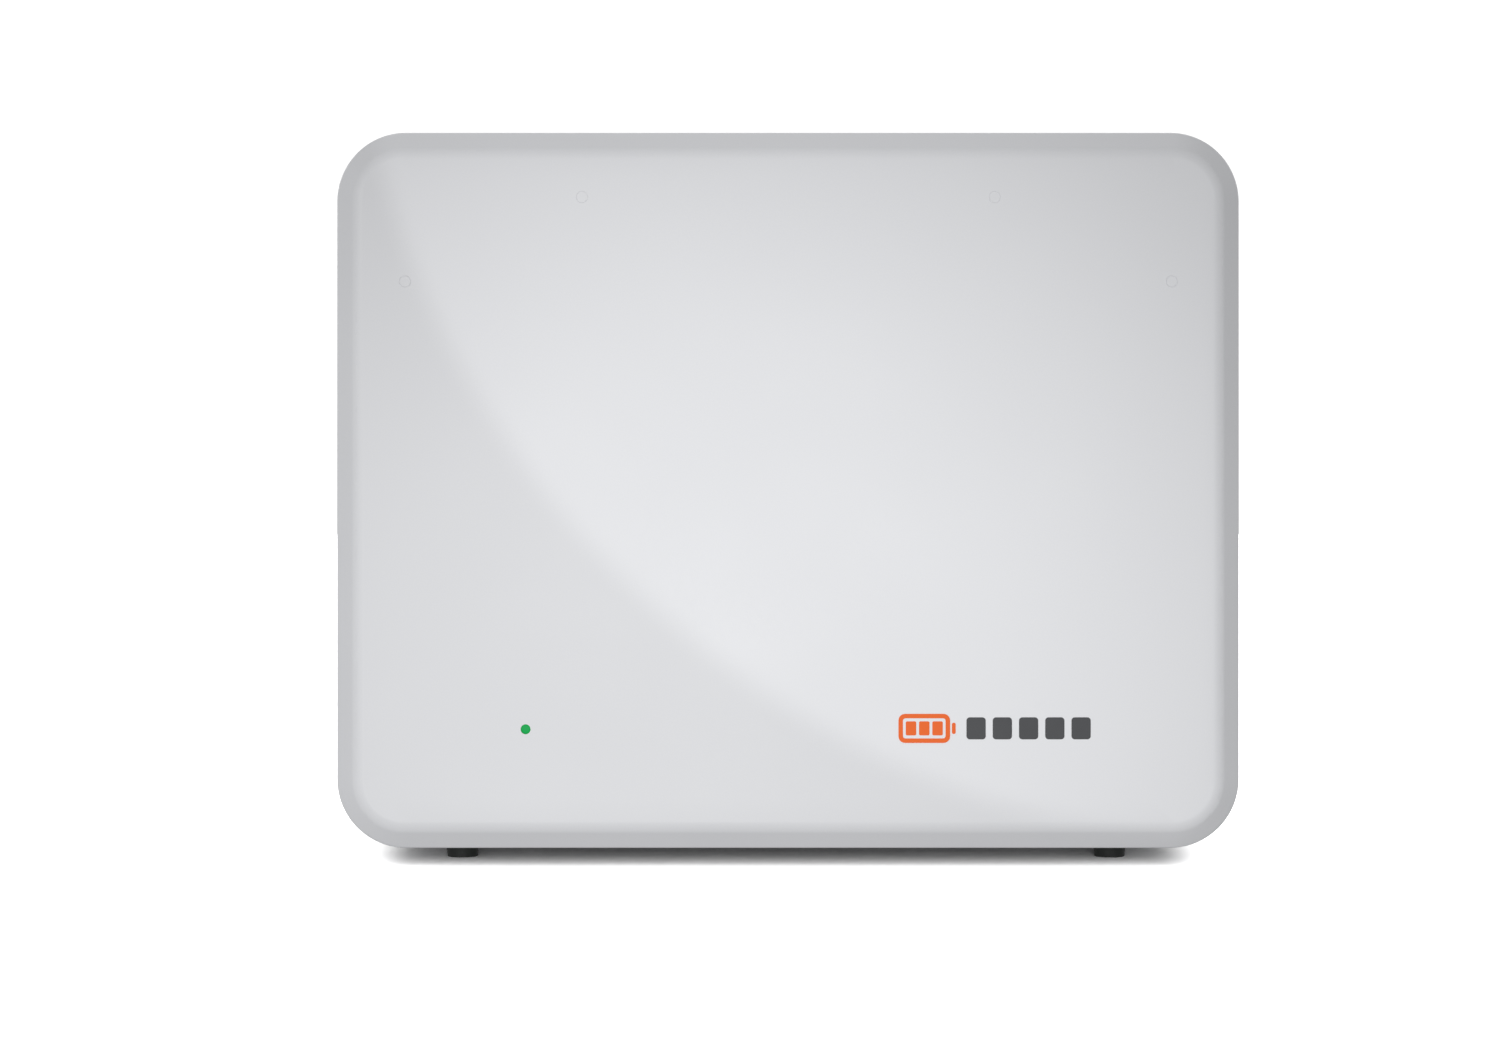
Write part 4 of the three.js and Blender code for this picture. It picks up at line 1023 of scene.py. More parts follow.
# %% Turn the sockets
for name, (low, high) in sockets.items():
    centre = (low + high) / 2
    seat = pan_high.x + 0.3
    mouth, throat = high.x, 184
    socket = turned(
        name + "_shell", "x", centre,
        [(low.x, 7), (low.x + 4, 11), (seat, 11), (seat, 15.6), (seat + 0.4, 16), (seat + 1.2, 16), (seat + 1.6, 15.6),
         (seat + 2.6, 12.4), (seat + 3, 12), (seat + 4.6, 11.4), (seat + 5.4, 12), (seat + 6.2, 11.4), (seat + 7, 12),
         (seat + 7.8, 11.4), (seat + 8.6, 12), (mouth - 1.2, 12), (mouth - 0.5, 11.8), (mouth, 11.2), (mouth, 9.3),
         (mouth - 0.6, 8.6), (throat, 8.5), (throat, 6.5), (throat + 0.6, 6.1)], sides=64,
    )
    flats = []
    for side in (-1, 1):
        at = centre.y + side * 13.8
        flats.append(start("flat", (seat - 1, min(at, at + side * 6), centre.z - 20), (seat + 2.2, max(at, at + side * 6), centre.z + 20)))
    cut(socket, *flats)
    key = start("key", (throat - 1, centre.y - 1.2, centre.z + 7.2), (mouth - 1.5, centre.y + 1.2, centre.z + 9))
    soften(key, 0.3)
    weld(socket, key)
    smooth(socket, 32)
    dress(socket, black_pa66, "black_sleeve", "chassis", name)
    pins = []
    for i in range(3):
        angle = math.radians(90 + 120 * i)
        at = (0, centre.y + math.cos(angle) * 3.6, centre.z + math.sin(angle) * 3.6)
        pins.append(turned("pin", "x", at, [(throat - 1, 1.2), (mouth - 2.2, 1.2), (mouth - 1.5, 0.9), (mouth - 1.2, 0.4)], sides=20))
    weld(pins[0], *pins[1:])
    pins[0].name = name + "_pins"
    smooth(pins[0], 40)
    dress(pins[0], brass_pin, "zinc_steel", "chassis")

# %% Mould the sealing cap
cap_low, cap_high = node_box("sealing_cap")
cap_at = (cap_low + cap_high) / 2
cap_radius = (cap_high.z - cap_low.z) / 2
seal = turned(
    "rubber_cap", "x", cap_at,
    [(cap_low.x, cap_radius - 0.7), (cap_low.x + 0.7, cap_radius), (cap_low.x + 1.9, cap_radius), (cap_low.x + 2.4, cap_radius - 0.9),
     (cap_high.x - 1.5, cap_radius - 0.9), (cap_high.x - 0.6, cap_radius - 1.5), (cap_high.x - 0.1, cap_radius - 2.8),
     (cap_high.x, cap_radius - 4), (cap_high.x, 6.5), (cap_high.x - 0.6, 5.9), (cap_high.x - 0.6, 3)], sides=72,
)
bore = disc("bore", "x", cap_at, 12.3, cap_low.x - 5, 192.3, sides=64)
cut(seal, bore)
ribs = []
for i in range(30):
    angle = math.radians(360 / 30 * i)
    at = (0, cap_at.y + math.cos(angle) * (cap_radius - 0.95), cap_at.z + math.sin(angle) * (cap_radius - 0.95))
    ribs.append(turned("rib", "x", at, [(cap_low.x + 2.2, 0.5), (cap_high.x - 1.4, 0.5), (cap_high.x - 1.1, 0.3)], sides=8))
tab = block("tab", (cap_low.x + 0.3, cap_at.y - 3.4, cap_at.z + cap_radius - 1), (cap_low.x + 1.9, cap_at.y + 3.4, cap_at.z + cap_radius + 1.6), 0.5)
weld(seal, tab, *ribs)
smooth(seal, 36)
dress(seal, epdm_rubber, "rubber_black", "socket_cap", "sealing_cap")
print("controls done")

# %% [markdown]
# ## Behind the cover
# With the cover off, a painted front frame stiffens the pan and a clear polycarbonate screen keeps
# fingers away from live metal. Four rubber grommets in them take the cover's posts, and four screws
# hold the pair. The screen is thin and flat, so its material only needs the real index of refraction
# and a very small roughness.

# %% Clear, rubber and insulating finishes
clear_polycarbonate = grained(
    "clear_polycarbonate", "F0F6F8", "F8FCFD", grain=3, rough=(0.02, 0.06), bump=0.001, patch=60,
    IOR=1.58, Transmission_Weight=0.96,
)
cream_polypropylene = grained(
    "cream_polypropylene", "DCD7C8", "EAE6D9", grain=0.8, rough=(0.5, 0.62), bump=0.01, patch=30, IOR=1.49
)
white_ceramic = grained("fired_ceramic", "E6E4DE", "F3F2EC", grain=1.2, rough=(0.3, 0.4), bump=0.004, patch=10)

# %% Front frame and screen
frame_low, frame_high = node_box("front_frame")
screen_low, screen_high = node_box("safety_screen")
FRAME_SIDE, FRAME_TOP, FRAME_BOTTOM, WINDOW_CORNER = 24, 24, 14, 10


def front_holes(y, extra=0):
    """Cutters for the screws and the grommets, through a sheet between two depths."""
    found = [disc("hole", "y", (s.x, 0, s.z), 2.3 + extra, y[0] - 3, y[1] + 3, sides=24) for s in screw_spots]
    found += [disc("hole", "y", (p.x, 0, p.z), 4.8, y[0] - 3, y[1] + 3, sides=32) for p in posts]
    return found


panel = plate(
    "window_frame", (frame_low.x, frame_high.x), (frame_low.z, frame_high.z), (frame_low.y, frame_high.y),
    (PAN_LOW_CORNER - 0.2, PAN_TOP_CORNER - 0.2), segments=10,
)
window = plate(
    "window", (pan_low.x + FRAME_SIDE, pan_high.x - FRAME_SIDE), (pan_low.z + FRAME_BOTTOM, pan_high.z - FRAME_TOP),
    (frame_low.y - 3, frame_high.y + 3), (WINDOW_CORNER, WINDOW_CORNER), segments=10,
)
cut(panel, window, *front_holes((frame_low.y, frame_high.y)))
soften(panel, 0.35, 2, angle=50)
smooth(panel, 30)
dress(panel, powder_coat, "chassis_paint", "chassis", "front_frame")

screen = plate(
    "clear_screen", (screen_low.x, screen_high.x), (screen_low.z, screen_high.z), (screen_low.y, screen_high.y),
    (PAN_LOW_CORNER - 3, PAN_TOP_CORNER - 3), segments=10,
)
pipe_hole = disc("hole", "y", (light.x, 0, light.z), 5, screen_low.y - 3, screen_high.y + 3, sides=32)
cut(screen, pipe_hole, *front_holes((screen_low.y, screen_high.y)))
soften(screen, 0.3, 2, angle=50)
smooth(screen, 30)
dress(screen, clear_polycarbonate, "clear_sheet", "chassis", "safety_screen")

# %% Screws and grommets
for i, spot in enumerate(screw_spots, start=1):
    low, high = node_box(f"frame_screw_{i}")
    seat = screen_low.y - 0.3
    screw = turned(
        f"pan_head_screw_{i}", "y", spot,
        [(high.y, 1.2), (high.y - 0.8, 1.9), (seat, 1.9), (seat, 4), (seat - 1.2, 4), (seat - 1.9, 3.6), (seat - 2.4, 2.8), (low.y, 1.6)],
        sides=36,
    )
    blades = [
        start("blade", (spot.x - w, low.y - 1, spot.z - h), (spot.x + w, low.y + 1.3, spot.z + h))
        for w, h in ((2.3, 0.42), (0.42, 2.3))
    ]
    cut(screw, *blades)
    smooth(screw, 32)
    dress(screw, zinc_plate, "zinc_steel", "chassis", f"frame_screw_{i}")

for i, post in enumerate(posts, start=1):
    low, high = node_box(f"post_grommet_{i}")
    radius = (high.x - low.x) / 2
    ring = turned(
        f"rubber_grommet_{i}", "y", post,
        [(low.y, radius - 1.4), (low.y + 0.4, radius - 0.5), (low.y + 1, radius), (low.y + 2, radius), (low.y + 2, 4.5),
         (high.y - 1.8, 4.5), (high.y - 1.8, 5.7), (high.y - 1.2, 5.8), (high.y - 0.3, 5), (high.y, 4.2)], sides=40,
    )
    cut(ring, disc("bore", "y", post, 2.7, low.y - 3, high.y + 3, sides=32))
    smooth(ring, 36)
    dress(ring, epdm_rubber, "rubber_black", "chassis", f"post_grommet_{i}")

# %% [markdown]
# ## The battery module
# Eight aluminium cans in shrunk blue film stand in two stacks. Each has a welded terminal on a moulded
# pad at either end and a burst vent between them. One cell is modelled in three pieces, film, pads and
# metal, and copied to the places of the other seven. Film is smooth and slightly glossy, and it pulls
# into faint waves as it shrinks, which a broad, soft bump gives.

# %% Finishes of the module
blue_film = grained(
    "shrunk_blue_film", "27549B", "346AB5", grain=9, rough=(0.2, 0.32), bump=0.12, patch=40, IOR=1.57
)
black_insulator = grained("black_polypropylene", "1B1C1E", "27292B", grain=0.6, rough=(0.5, 0.62), bump=0.01, patch=10)
rolled_aluminium = grained(
    "rolled_aluminium", "B7BABD", "D4D6D8", grain=0.5, rough=(0.3, 0.42), bump=0.006, patch=9,
    stretch=(0.08, 1, 1), Metallic=1.0,
)

# %% Model one cell
cell_boxes = [node_box(f"cell_{i}") for i in range(1, 9)]
first_low, first_high = cell_boxes[0]
cell_middle = (first_low + first_high) / 2
CAN_FRONT, TERMINAL_X, TERMINAL_RADIUS = -54, 55, 8
can = block("prismatic_cell_1", (first_low.x, CAN_FRONT, first_low.z), first_high, 1.9, 4)
seam = block("seam", (first_low.x + 3, CAN_FRONT - 0.12, first_low.z + 3), (first_high.x - 3, CAN_FRONT + 1, first_low.z + 5.2), 0.1, 1)
weld(can, seam)
pads, metal = [], []
for side in (-1, 1):
    x = cell_middle.x + side * TERMINAL_X
    pads.append(block("pad", (x - 15, CAN_FRONT - 1.6, cell_middle.z - 13), (x + 15, CAN_FRONT + 1, cell_middle.z + 13), 1.1, 3))
    metal.append(
        turned(
            "terminal", "y", (x, 0, cell_middle.z),
            [(CAN_FRONT, TERMINAL_RADIUS), (first_low.y + 0.6, TERMINAL_RADIUS), (first_low.y, TERMINAL_RADIUS - 0.6), (first_low.y, 3.4), (first_low.y + 0.4, 3)],
            sides=40,
        )
    )
vent = disc("vent", "y", (0, 0, 0), 6.9, CAN_FRONT - 0.7, CAN_FRONT + 1)
edit(vent)
bpy.ops.mesh.select_all(action="SELECT")
bpy.ops.transform.resize(value=(1.7, 1, 1), center_override=Vector((0, 0, 0)))
bpy.ops.transform.translate(value=Vector((cell_middle.x, 0, cell_middle.z)) * MM)
bpy.ops.mesh.select_all(action="DESELECT")
pick_faces(facing(y=-1))
bpy.ops.mesh.inset(thickness=1 * MM)
bpy.ops.mesh.inset(thickness=0.4 * MM, depth=-0.35 * MM)
leave()
weld(metal[0], metal[1], vent)
weld(pads[0], pads[1])
parts = {"prismatic_cell": (can, blue_film, "cell_wrap"), "cell_pads": (pads[0], black_insulator, "insulator"),
         "cell_metal": (metal[0], rolled_aluminium, "aluminium_plate")}
for name, (piece, material, slot) in parts.items():
    smooth(piece, 34)
    for i, (low, high) in enumerate(cell_boxes, start=1):
        copy = piece if i == 1 else twin(piece, f"{name}_{i}", (low + high) / 2 - cell_middle)
        copy.name = f"{name}_{i}"
        dress(copy, material, slot, "chassis", *([f"cell_{i}"] if piece is can else []))
print("cells: 8 of", len(can.data.polygons) + len(pads[0].data.polygons) + len(metal[0].data.polygons), "faces")

# %% [markdown]
# Each busbar is a strip of copper with a half-round loop across its middle, so that the cells can
# swell without straining a terminal. A flanged bolt holds each end.

# %% Press the busbars
BAR_HALF, BAR_BACK, BAR_THICK, LOOP = 9, -60.3, 2, 3.6


def terminal_bolt(x, z, low_y):
    seat = BAR_BACK - BAR_THICK
    flange = turned("flange", "y", (x, 0, z), [(seat + 0.2, 7.4), (seat - 0.5, 7.4), (seat - 0.9, 6.6)], sides=36)
    head = turned("head", "y", (x, 0, z), [(seat - 0.7, 5.5), (low_y + 0.5, 5.5), (low_y, 4.7)], sides=6)
    dimple = turned("dimple", "y", (x, 0, z), [(low_y - 1, 3.2), (low_y + 0.4, 2.4)], sides=20)
    soften(head, 0.25, 2, angle=40)
    cut(head, dimple)
    return weld(head, flange)


for i in range(1, 8):
    low, high = node_box(f"busbar_{i}")
    upright = high.z - low.z > high.x - low.x
    axis = "x" if upright else "z"
    middle = (low + high) / 2
    bar = plate(f"copper_link_{i}", (low.x, high.x), (low.z, high.z), (BAR_BACK - BAR_THICK, BAR_BACK), (3, 3), segments=6)
    reach = (low.x, high.x) if upright else (low.z, high.z)
    centre_y = BAR_BACK - BAR_THICK / 2
    loop = disc("loop", axis, (middle.x, centre_y, middle.z), LOOP, *reach, sides=32)
    join_solids(bar, loop)
    inner = disc("inner", axis, (middle.x, centre_y, middle.z), LOOP - BAR_THICK, reach[0] - 1, reach[1] + 1, sides=32)
    side = Vector((20, 0, 2 * LOOP)) if upright else Vector((2 * LOOP, 0, 20))
    behind = start("behind", (middle.x - side.x, BAR_BACK, middle.z - side.z), (middle.x + side.x, BAR_BACK + 8, middle.z + side.z))
    cut(bar, inner, behind)
    soften(bar, 0.3, 2, angle=50)
    smooth(bar, 30)
    dress(bar, rolled_copper, "copper_bar", "chassis", f"busbar_{i}")
    bolts = [
        terminal_bolt(x, z, low.y)
        for x, z in ((low.x + BAR_HALF, low.z + BAR_HALF), (high.x - BAR_HALF, high.z - BAR_HALF))
    ]
    weld(bolts[0], bolts[1])
    bolts[0].name = f"link_bolts_{i}"
    smooth(bolts[0], 30)
    dress(bolts[0], zinc_plate, "zinc_steel", "chassis")

# %% End plates, spacer and band
for name in ("module_bottom_plate", "module_top_plate"):
    low, high = node_box(name)
    top = name == "module_top_plate"
    end_plate = block(name + "_cast", low, high, 1.2, 3)
    grooves = []
    for x in (-130, -70, 70, 130):
        z0, z1 = (low.z + 3, high.z + 2) if top else (low.z - 2, low.z + 4.9)
        grooves.append(start("groove", (x - 18, low.y + 12, z0), (x + 18, high.y - 12, z1)))
    for groove in grooves:
        soften(groove, 1.5, 3)
    cut(end_plate, *grooves)
    smooth(end_plate, 32)
    dress(end_plate, brushed_aluminium, "aluminium_plate", "chassis", name)
finish_cad("cell_spacer", cream_polypropylene)

band_low, band_high = node_box("tie_band")
band = start("steel_band", band_low, band_high)
edit(band)
pick_faces(facing(y=1))
bpy.ops.mesh.delete(type="FACE")
pick_faces(facing(y=-1))
bpy.ops.mesh.delete(type="FACE")
bpy.ops.mesh.select_mode(type="EDGE")
pick_edges(lambda a, b: abs(a.y - b.y) > 1e-3)
bpy.ops.mesh.bevel(offset=0.8 * MM, segments=4, affect="EDGES")
leave()
modify(band, "SOLIDIFY", thickness=1.2 * MM, offset=-1, use_even_offset=True, use_rim=True)
smooth(band, 30)
dress(band, zinc_plate, "zinc_steel", "chassis", "tie_band")
print("module done")

# %% [markdown]
# ## The electronics
# The management board is green laminate with its parts on the front: black chips, a white row of cell
# sense connectors, three capacitors and a finned heat sink over the transistors. Solder mask is glossy
# and slightly darker where copper doesn't lie under it, so bands of tracks are drawn across it.

# %% Laminate with tracks
laminate, tree, shader = blank("solder_mask_laminate", IOR=1.55)
place = add_node(tree, "TexCoord").outputs["Object"]
turned_place = add_node(tree, "Mapping", {"Vector": place, "Rotation": (math.radians(90), 0, 0)}).outputs["Vector"]
TRACK_LENGTH, TRACK_PITCH, TRACK_WIDTH = 11, 1.7, 0.45
tracks = add_node(
    tree, "TexBrick",
    {"Vector": turned_place, "Color1": colour("1B5B3B"), "Color2": colour("1D6140"), "Mortar": colour("2F8A5A"),
     "Scale": 1.0, "Mortar Size": TRACK_WIDTH / 2 * MM, "Mortar Smooth": 0.2, "Brick Width": TRACK_LENGTH * MM,
     "Row Height": TRACK_PITCH * MM},
    offset=0.37, squash=1.8, squash_frequency=3,
)
clouds = add_node(tree, "TexNoise", {"Vector": place, "Scale": 1000 / 20, "Detail": 2.0})
gloss = add_node(tree, "MapRange", {"Value": clouds.outputs["Fac"], "To Min": 0.2, "To Max": 0.4})
steps = add_node(tree, "Bump", {"Height": tracks.outputs["Fac"], "Strength": 0.5, "Distance": 0.04 * MM})
tree.links.new(tracks.outputs["Color"], shader.inputs["Base Color"])
tree.links.new(gloss.outputs["Result"], shader.inputs["Roughness"])
tree.links.new(steps.outputs["Normal"], shader.inputs["Normal"])

black_epoxy = grained("black_epoxy", "151617", "1F2022", grain=0.4, rough=(0.4, 0.55), bump=0.01, patch=8)
green_nylon = grained("green_nylon", "2E8B4E", "3A9C5B", grain=0.6, rough=(0.4, 0.5), bump=0.008, patch=12)

# %% Populate the board
board_low, board_high = -50, -48.4
board = plate("board_laminate", (-172, -30), (24, 102), (board_low, board_high), (3, 3), segments=6)
for x, z in ((-160, 33), (-160, 93), (-42, 33), (-42, 93)):
    cut(board, disc("hole", "y", (x, 0, z), 1.6, -53, -45, sides=20))
smooth(board, 30)
dress(board, laminate, "circuit_board", "chassis", "management_board")


def gather(name, pieces, material, slot, angle=32):
    """Small parts of one finish, joined as one piece that rides on the chassis."""
    weld(pieces[0], *pieces[1:])
    pieces[0].name = name
    smooth(pieces[0], angle)
    return dress(pieces[0], material, slot, "chassis")


def on_board(x, z, front, radius=0.5):
    """A part soldered to the board, between x and z limits."""
    return block("part", (x[0], front, z[0]), (x[1], board_low + 0.2, z[1]), radius)


chips = [on_board((-140, -126), (42, 56), -52), on_board((-96, -80), (66, 82), -52.5), on_board((-118, -106), (72, 80), -51.6)]
for i in range(6):
    chips.append(on_board((-150 + i * 9, -146 + i * 9), (26.5, 29), -51, 0.2))
for i in range(5):
    chips.append(on_board((-72 + i * 6, -69 + i * 6), (24.8, 27.8), -51.2, 0.2))
gather("board_chips", chips, black_epoxy, "black_sleeve")

legs = []
for x0, x1, z0, z1 in ((-140, -126, 42, 56), (-96, -80, 66, 82)):
    count = 8
    for i in range(count):
        z = z0 + (i + 0.5) * (z1 - z0) / count
        for x in (x0, x1):
            legs.append(start("leg", (x - 1.2, board_low - 0.25, z - 0.35), (x + 1.2, board_low + 0.1, z + 0.35)))
for x, z in ((-160, 33), (-160, 93), (-42, 33), (-42, 93)):
    legs.append(turned("standoff_screw", "y", (x, 0, z), [(board_low, 2.9), (board_low - 1.2, 2.9), (board_low - 1.8, 2.2)], sides=24))
    legs.append(turned("standoff", "y", (x, 0, z), [(board_high, 3), (-46.3, 3)], sides=6))
gather("board_metal", legs, zinc_plate, "zinc_steel")

terminals, mouths = [], []
for z0 in (52, 66):
    terminals.append(on_board((-166, -146), (z0, z0 + 10), -61))
    for x in (-161, -151):
        mouths.append(disc("mouth", "y", (x, 0, z0 + 5), 2.6, -63, -57, sides=24))
terminals.append(on_board((-166, -146), (32, 46), -58))
for z0 in (72, 46):
    terminals.append(on_board((-66, -50), (z0, z0 + 20), -60))
    for z in (z0 + 5, z0 + 15):
        mouths.append(disc("mouth", "y", (-58, 0, z), 2.8, -63, -56, sides=24))
weld(terminals[0], *terminals[1:])
cut(terminals[0], *mouths)
gather("board_terminals", terminals[:1], green_nylon, "circuit_board")

header = on_board((-140, -100), (86, 94), -57)
cut(header, start("well", (-138.5, -60, 87.2), (-101.5, -53, 92.8)))
plugs = [on_board((-66, -42), (30, 38), -56, 0.4)]
gather("sense_header", [header, *plugs], cream_polypropylene, "insulator")

fins = [block("base", (-98, -53, 30), (-74, board_low - 0.1, 50), 0.3, 1)]
fins += [block("fin", (-98 + i * 3.83, -63, 30), (-98 + i * 3.83 + 1, -52.5, 50), 0.2, 1) for i in range(7)]
gather("heat_sink", fins, brushed_aluminium, "aluminium_plate")

sleeves, tops = [], []
for x, z in ((-120, 36), (-108, 36), (-88, 92)):
    sleeves.append(
        turned("sleeve", "y", (x, 0, z), [(board_low, 4.7), (-51, 5), (-52, 4.6), (-53, 5), (-60.2, 5), (-60.9, 4.5), (-60.9, 4.1)], sides=36)
    )
    tops.append(turned("top", "y", (x, 0, z), [(-60.5, 4.1), (-60.8, 4.1), (-60.95, 3.8)], sides=36))
gather("capacitor_sleeves", sleeves, black_epoxy, "black_sleeve")
gather("capacitor_tops", tops, rolled_aluminium, "aluminium_plate")

led_low, led_high = node_box("status_led")
led_at = (led_low + led_high) / 2
led = turned(
    "green_led", "y", led_at,
    [(led_high.y, 3), (led_high.y - 1, 3), (led_high.y - 1, 2.5), (led_low.y + 2.5, 2.5), (led_low.y + 1.2, 2.15), (led_low.y + 0.4, 1.4), (led_low.y, 0.6)],
    sides=36,
)
smooth(led, 40)
dress(led, lit_acrylic, "status_green", "chassis", "status_led")
print("board done")

# %% [markdown]
# ## Fuse, isolator body and inverter
# A ceramic fuse bridges two copper clips on a moulded base. The isolator's body is a black block behind
# the pan's left wall. The small inverter is a cast aluminium can, painted grey and finned so that the
# draught from the slots below and above carries its heat away.

# %% Fuse block
fuse_low, fuse_high = node_box("fuse_block")
fuse_mid = (fuse_low + fuse_high) / 2
fuse_z = 46
base = block("fuse_base", (fuse_low.x, fuse_low.y, fuse_low.z), (fuse_high.x, fuse_high.y, 34), 1.6, 3)
for y in (-15, 15):
    cut(base, disc("hole", "z", (fuse_mid.x, y, 0), 2.6, 26, 40, sides=24))
cut(base, *[start("relief", (fuse_mid.x - 11, y - 3, 24), (fuse_mid.x + 11, y + 3, 40)) for y in (-20, 20)])
smooth(base, 32)
moulded_grey = grained("moulded_grey_nylon", "6F7478", "7F8488", grain=0.8, rough=(0.45, 0.58), bump=0.012, patch=20)
dress(base, moulded_grey, "grey_case", "chassis", "fuse_block")
clips = []
for x0, x1 in ((10, 16), (44, 50)):
    clip = block("clip", (x0, -8, 33), (x1, 8, 50), 1.2, 3)
    clips.append(cut(clip, disc("bore", "x", (0, 0, fuse_z), 10.6, x0 - 2, x1 + 2, sides=40)))
caps = []
for x0, x1 in ((14, 21), (39, 46)):
    caps.append(turned("cap", "x", (0, 0, fuse_z), [(x0, 9.8), (x0 + 0.6, 11), (x1 - 0.6, 11), (x1, 10.4)], sides=48))
gather("fuse_clips", clips, rolled_copper, "copper_bar")
gather("fuse_caps", caps, zinc_plate, "zinc_steel")
tube = turned("fuse_tube", "x", (0, 0, fuse_z), [(20, 10.2), (20.6, 10.6), (39.4, 10.6), (40, 10.2)], sides=48)
smooth(tube, 32)
dress(tube, white_ceramic, "insulator", "chassis")

# %% Isolator body
body_low, body_high = node_box("dc_switch_body")
block_x = body_high.x - 4.3
housing = start("isolator_housing", (body_low.x + 2.9, switch_y - 20, switch_z - 20), (block_x, switch_y + 20, switch_z + 20))
edit(housing, "EDGE")
pick_edges(lambda a, b: abs(a.x - b.x) > 1e-4)
bpy.ops.mesh.bevel(offset=3 * MM, segments=5, affect="EDGES")
leave()
waist = [
    start("waist", (body_low.x + 3 + i * 12, switch_y - 24, switch_z + side * 20 - 1), (body_low.x + 5 + i * 12, switch_y + 24, switch_z + side * 20 + 1))
    for i in (1, 2)
    for side in (-1, 1)
]
cut(housing, *waist)
bush = turned("bush", "x", (0, switch_y, switch_z), [(body_low.x, 6.6), (body_low.x + 0.4, 7), (body_low.x + 4, 7)], sides=40)
join_solids(housing, bush)
cut(housing, disc("bore", "x", (0, switch_y, switch_z), 4.4, body_low.x - 3, body_low.x + 15, sides=40))
smooth(housing, 32)
dress(housing, black_pa66, "black_sleeve", "chassis", "dc_switch_body")
heads = []
for dz in (-14, 14):
    at = (0, switch_y, switch_z + dz)
    head = turned("head", "x", at, [(block_x - 1, 3.4), (body_high.x - 0.6, 3.4), (body_high.x, 2.7)], sides=32)
    heads.append(cut(head, start("blade", (body_high.x - 1.2, switch_y - 4, at[2] - 0.45), (body_high.x + 1, switch_y + 4, at[2] + 0.45))))
gather("isolator_screws", heads, zinc_plate, "zinc_steel")

# %% Inverter
inv_low, inv_high = node_box("microinverter")
can_y = inv_high.y - 24
painted_casting = grained("painted_aluminium_casting", "767B80", "858A8F", grain=1.6, rough=(0.5, 0.64), bump=0.05, patch=40)
case = plate("inverter_case", (inv_low.x, inv_high.x), (118, inv_high.z), (can_y, inv_high.y), (10, 10), segments=10)
edit(case, "EDGE")
pick_edges(lambda a, b: max(a.y, b.y) < (can_y + 0.1) * MM)
bpy.ops.mesh.bevel(offset=3 * MM, segments=5, affect="EDGES")
leave()
ribs = []
for x in range(-60, 61, 20):
    rib = start("rib", (x - 1.5, inv_low.y, 130), (x + 1.5, can_y + 1, 270))
    edit(rib)
    pick_faces(facing(y=-1))
    bpy.ops.transform.resize(value=(0.6, 1, 0.97), center_override=Vector((x, inv_low.y, 200)) * MM)
    leave()
    ribs.append(soften(rib, 0.5, 2))
join_solids(case, *ribs)
smooth(case, 32)
dress(case, painted_casting, "grey_case", "chassis", "microinverter")
glands = []
for x in (-50, 50):
    y = 81.7
    glands.append(turned("nut", "z", (x, y, 0), [(110, 6.9), (110.6, 7.8), (114.4, 7.8), (115, 7.2)], sides=6))
    glands.append(turned("dome", "z", (x, y, 0), [(107.9, 4.6), (108.3, 5.4), (109.4, 6.4), (110.6, 6.8)], sides=32))
    glands.append(turned("collar", "z", (x, y, 0), [(114.6, 7.6), (118.6, 7.6)], sides=32))
gather("inverter_glands", glands, black_pa66, "black_sleeve")
print("power parts done")

# %% [markdown]
# ## Leads
# Stranded copper in a PVC sleeve bends in long easy curves. Each lead is a smooth curve through a few
# points of its route, given a round section and made a mesh. The stretch from a lug starts as a crimped
# barrel. PVC is glossy and faintly uneven, because it is drawn over the strands while soft.

# %% Sleeves
red_pvc = grained("red_pvc", "A81D19", "BC2A24", grain=2.5, rough=(0.3, 0.42), bump=0.03, patch=12, IOR=1.53)
black_pvc = grained("black_pvc", "161718", "222325", grain=2.5, rough=(0.34, 0.46), bump=0.03, patch=12, IOR=1.53)
grey_pvc = grained("grey_pvc", "6E7276", "7F8387", grain=2.0, rough=(0.36, 0.48), bump=0.02, patch=12, IOR=1.53)


def along(points, steps):
    """A centripetal Catmull-Rom curve through points: the same easy bends as a lead takes."""
    ends = [2 * points[0] - points[1], *points, 2 * points[-1] - points[-2]]
    path = []
    for a, b, c, d in zip(ends, ends[1:], ends[2:], ends[3:]):
        t1 = math.sqrt((b - a).length)
        t2 = t1 + math.sqrt((c - b).length)
        t3 = t2 + math.sqrt((d - c).length)
        for step in range(steps):
            t = t1 + (t2 - t1) * step / steps
            p, q, r = a.lerp(b, t / t1), b.lerp(c, (t - t1) / (t2 - t1)), c.lerp(d, (t - t2) / (t3 - t2))
            u, v = p.lerp(q, t / t2), q.lerp(r, (t - t1) / (t3 - t1))
            path.append(u.lerp(v, (t - t1) / (t2 - t1)))
    return [*path, points[-1]]


def strand(name, route, radius):
    """A round sleeve along a smooth curve, made a mesh."""
    path = along([Vector(point) for point in route], 8)
    curve = bpy.data.curves.new(name, "CURVE")
    curve.dimensions = "3D"
    curve.bevel_depth = radius * MM
    curve.bevel_resolution = 6
    curve.use_fill_caps = True
    line = curve.splines.new("POLY")
    line.points.add(len(path) - 1)
    for point, spot in zip(line.points, path):
        point.co = (*(spot * MM), 1)
    piece = bpy.data.objects.new(name, curve)
    bpy.context.scene.collection.objects.link(piece)
    only(piece)
    bpy.ops.object.convert(target="MESH")
    return bpy.context.object


def lead(name, node, route, radius, material, slot):
    """A lead that stands for one of the frame's."""
    piece = smooth(strand(name, route, radius), 40)
    return dress(piece, material, slot, "chassis", node)


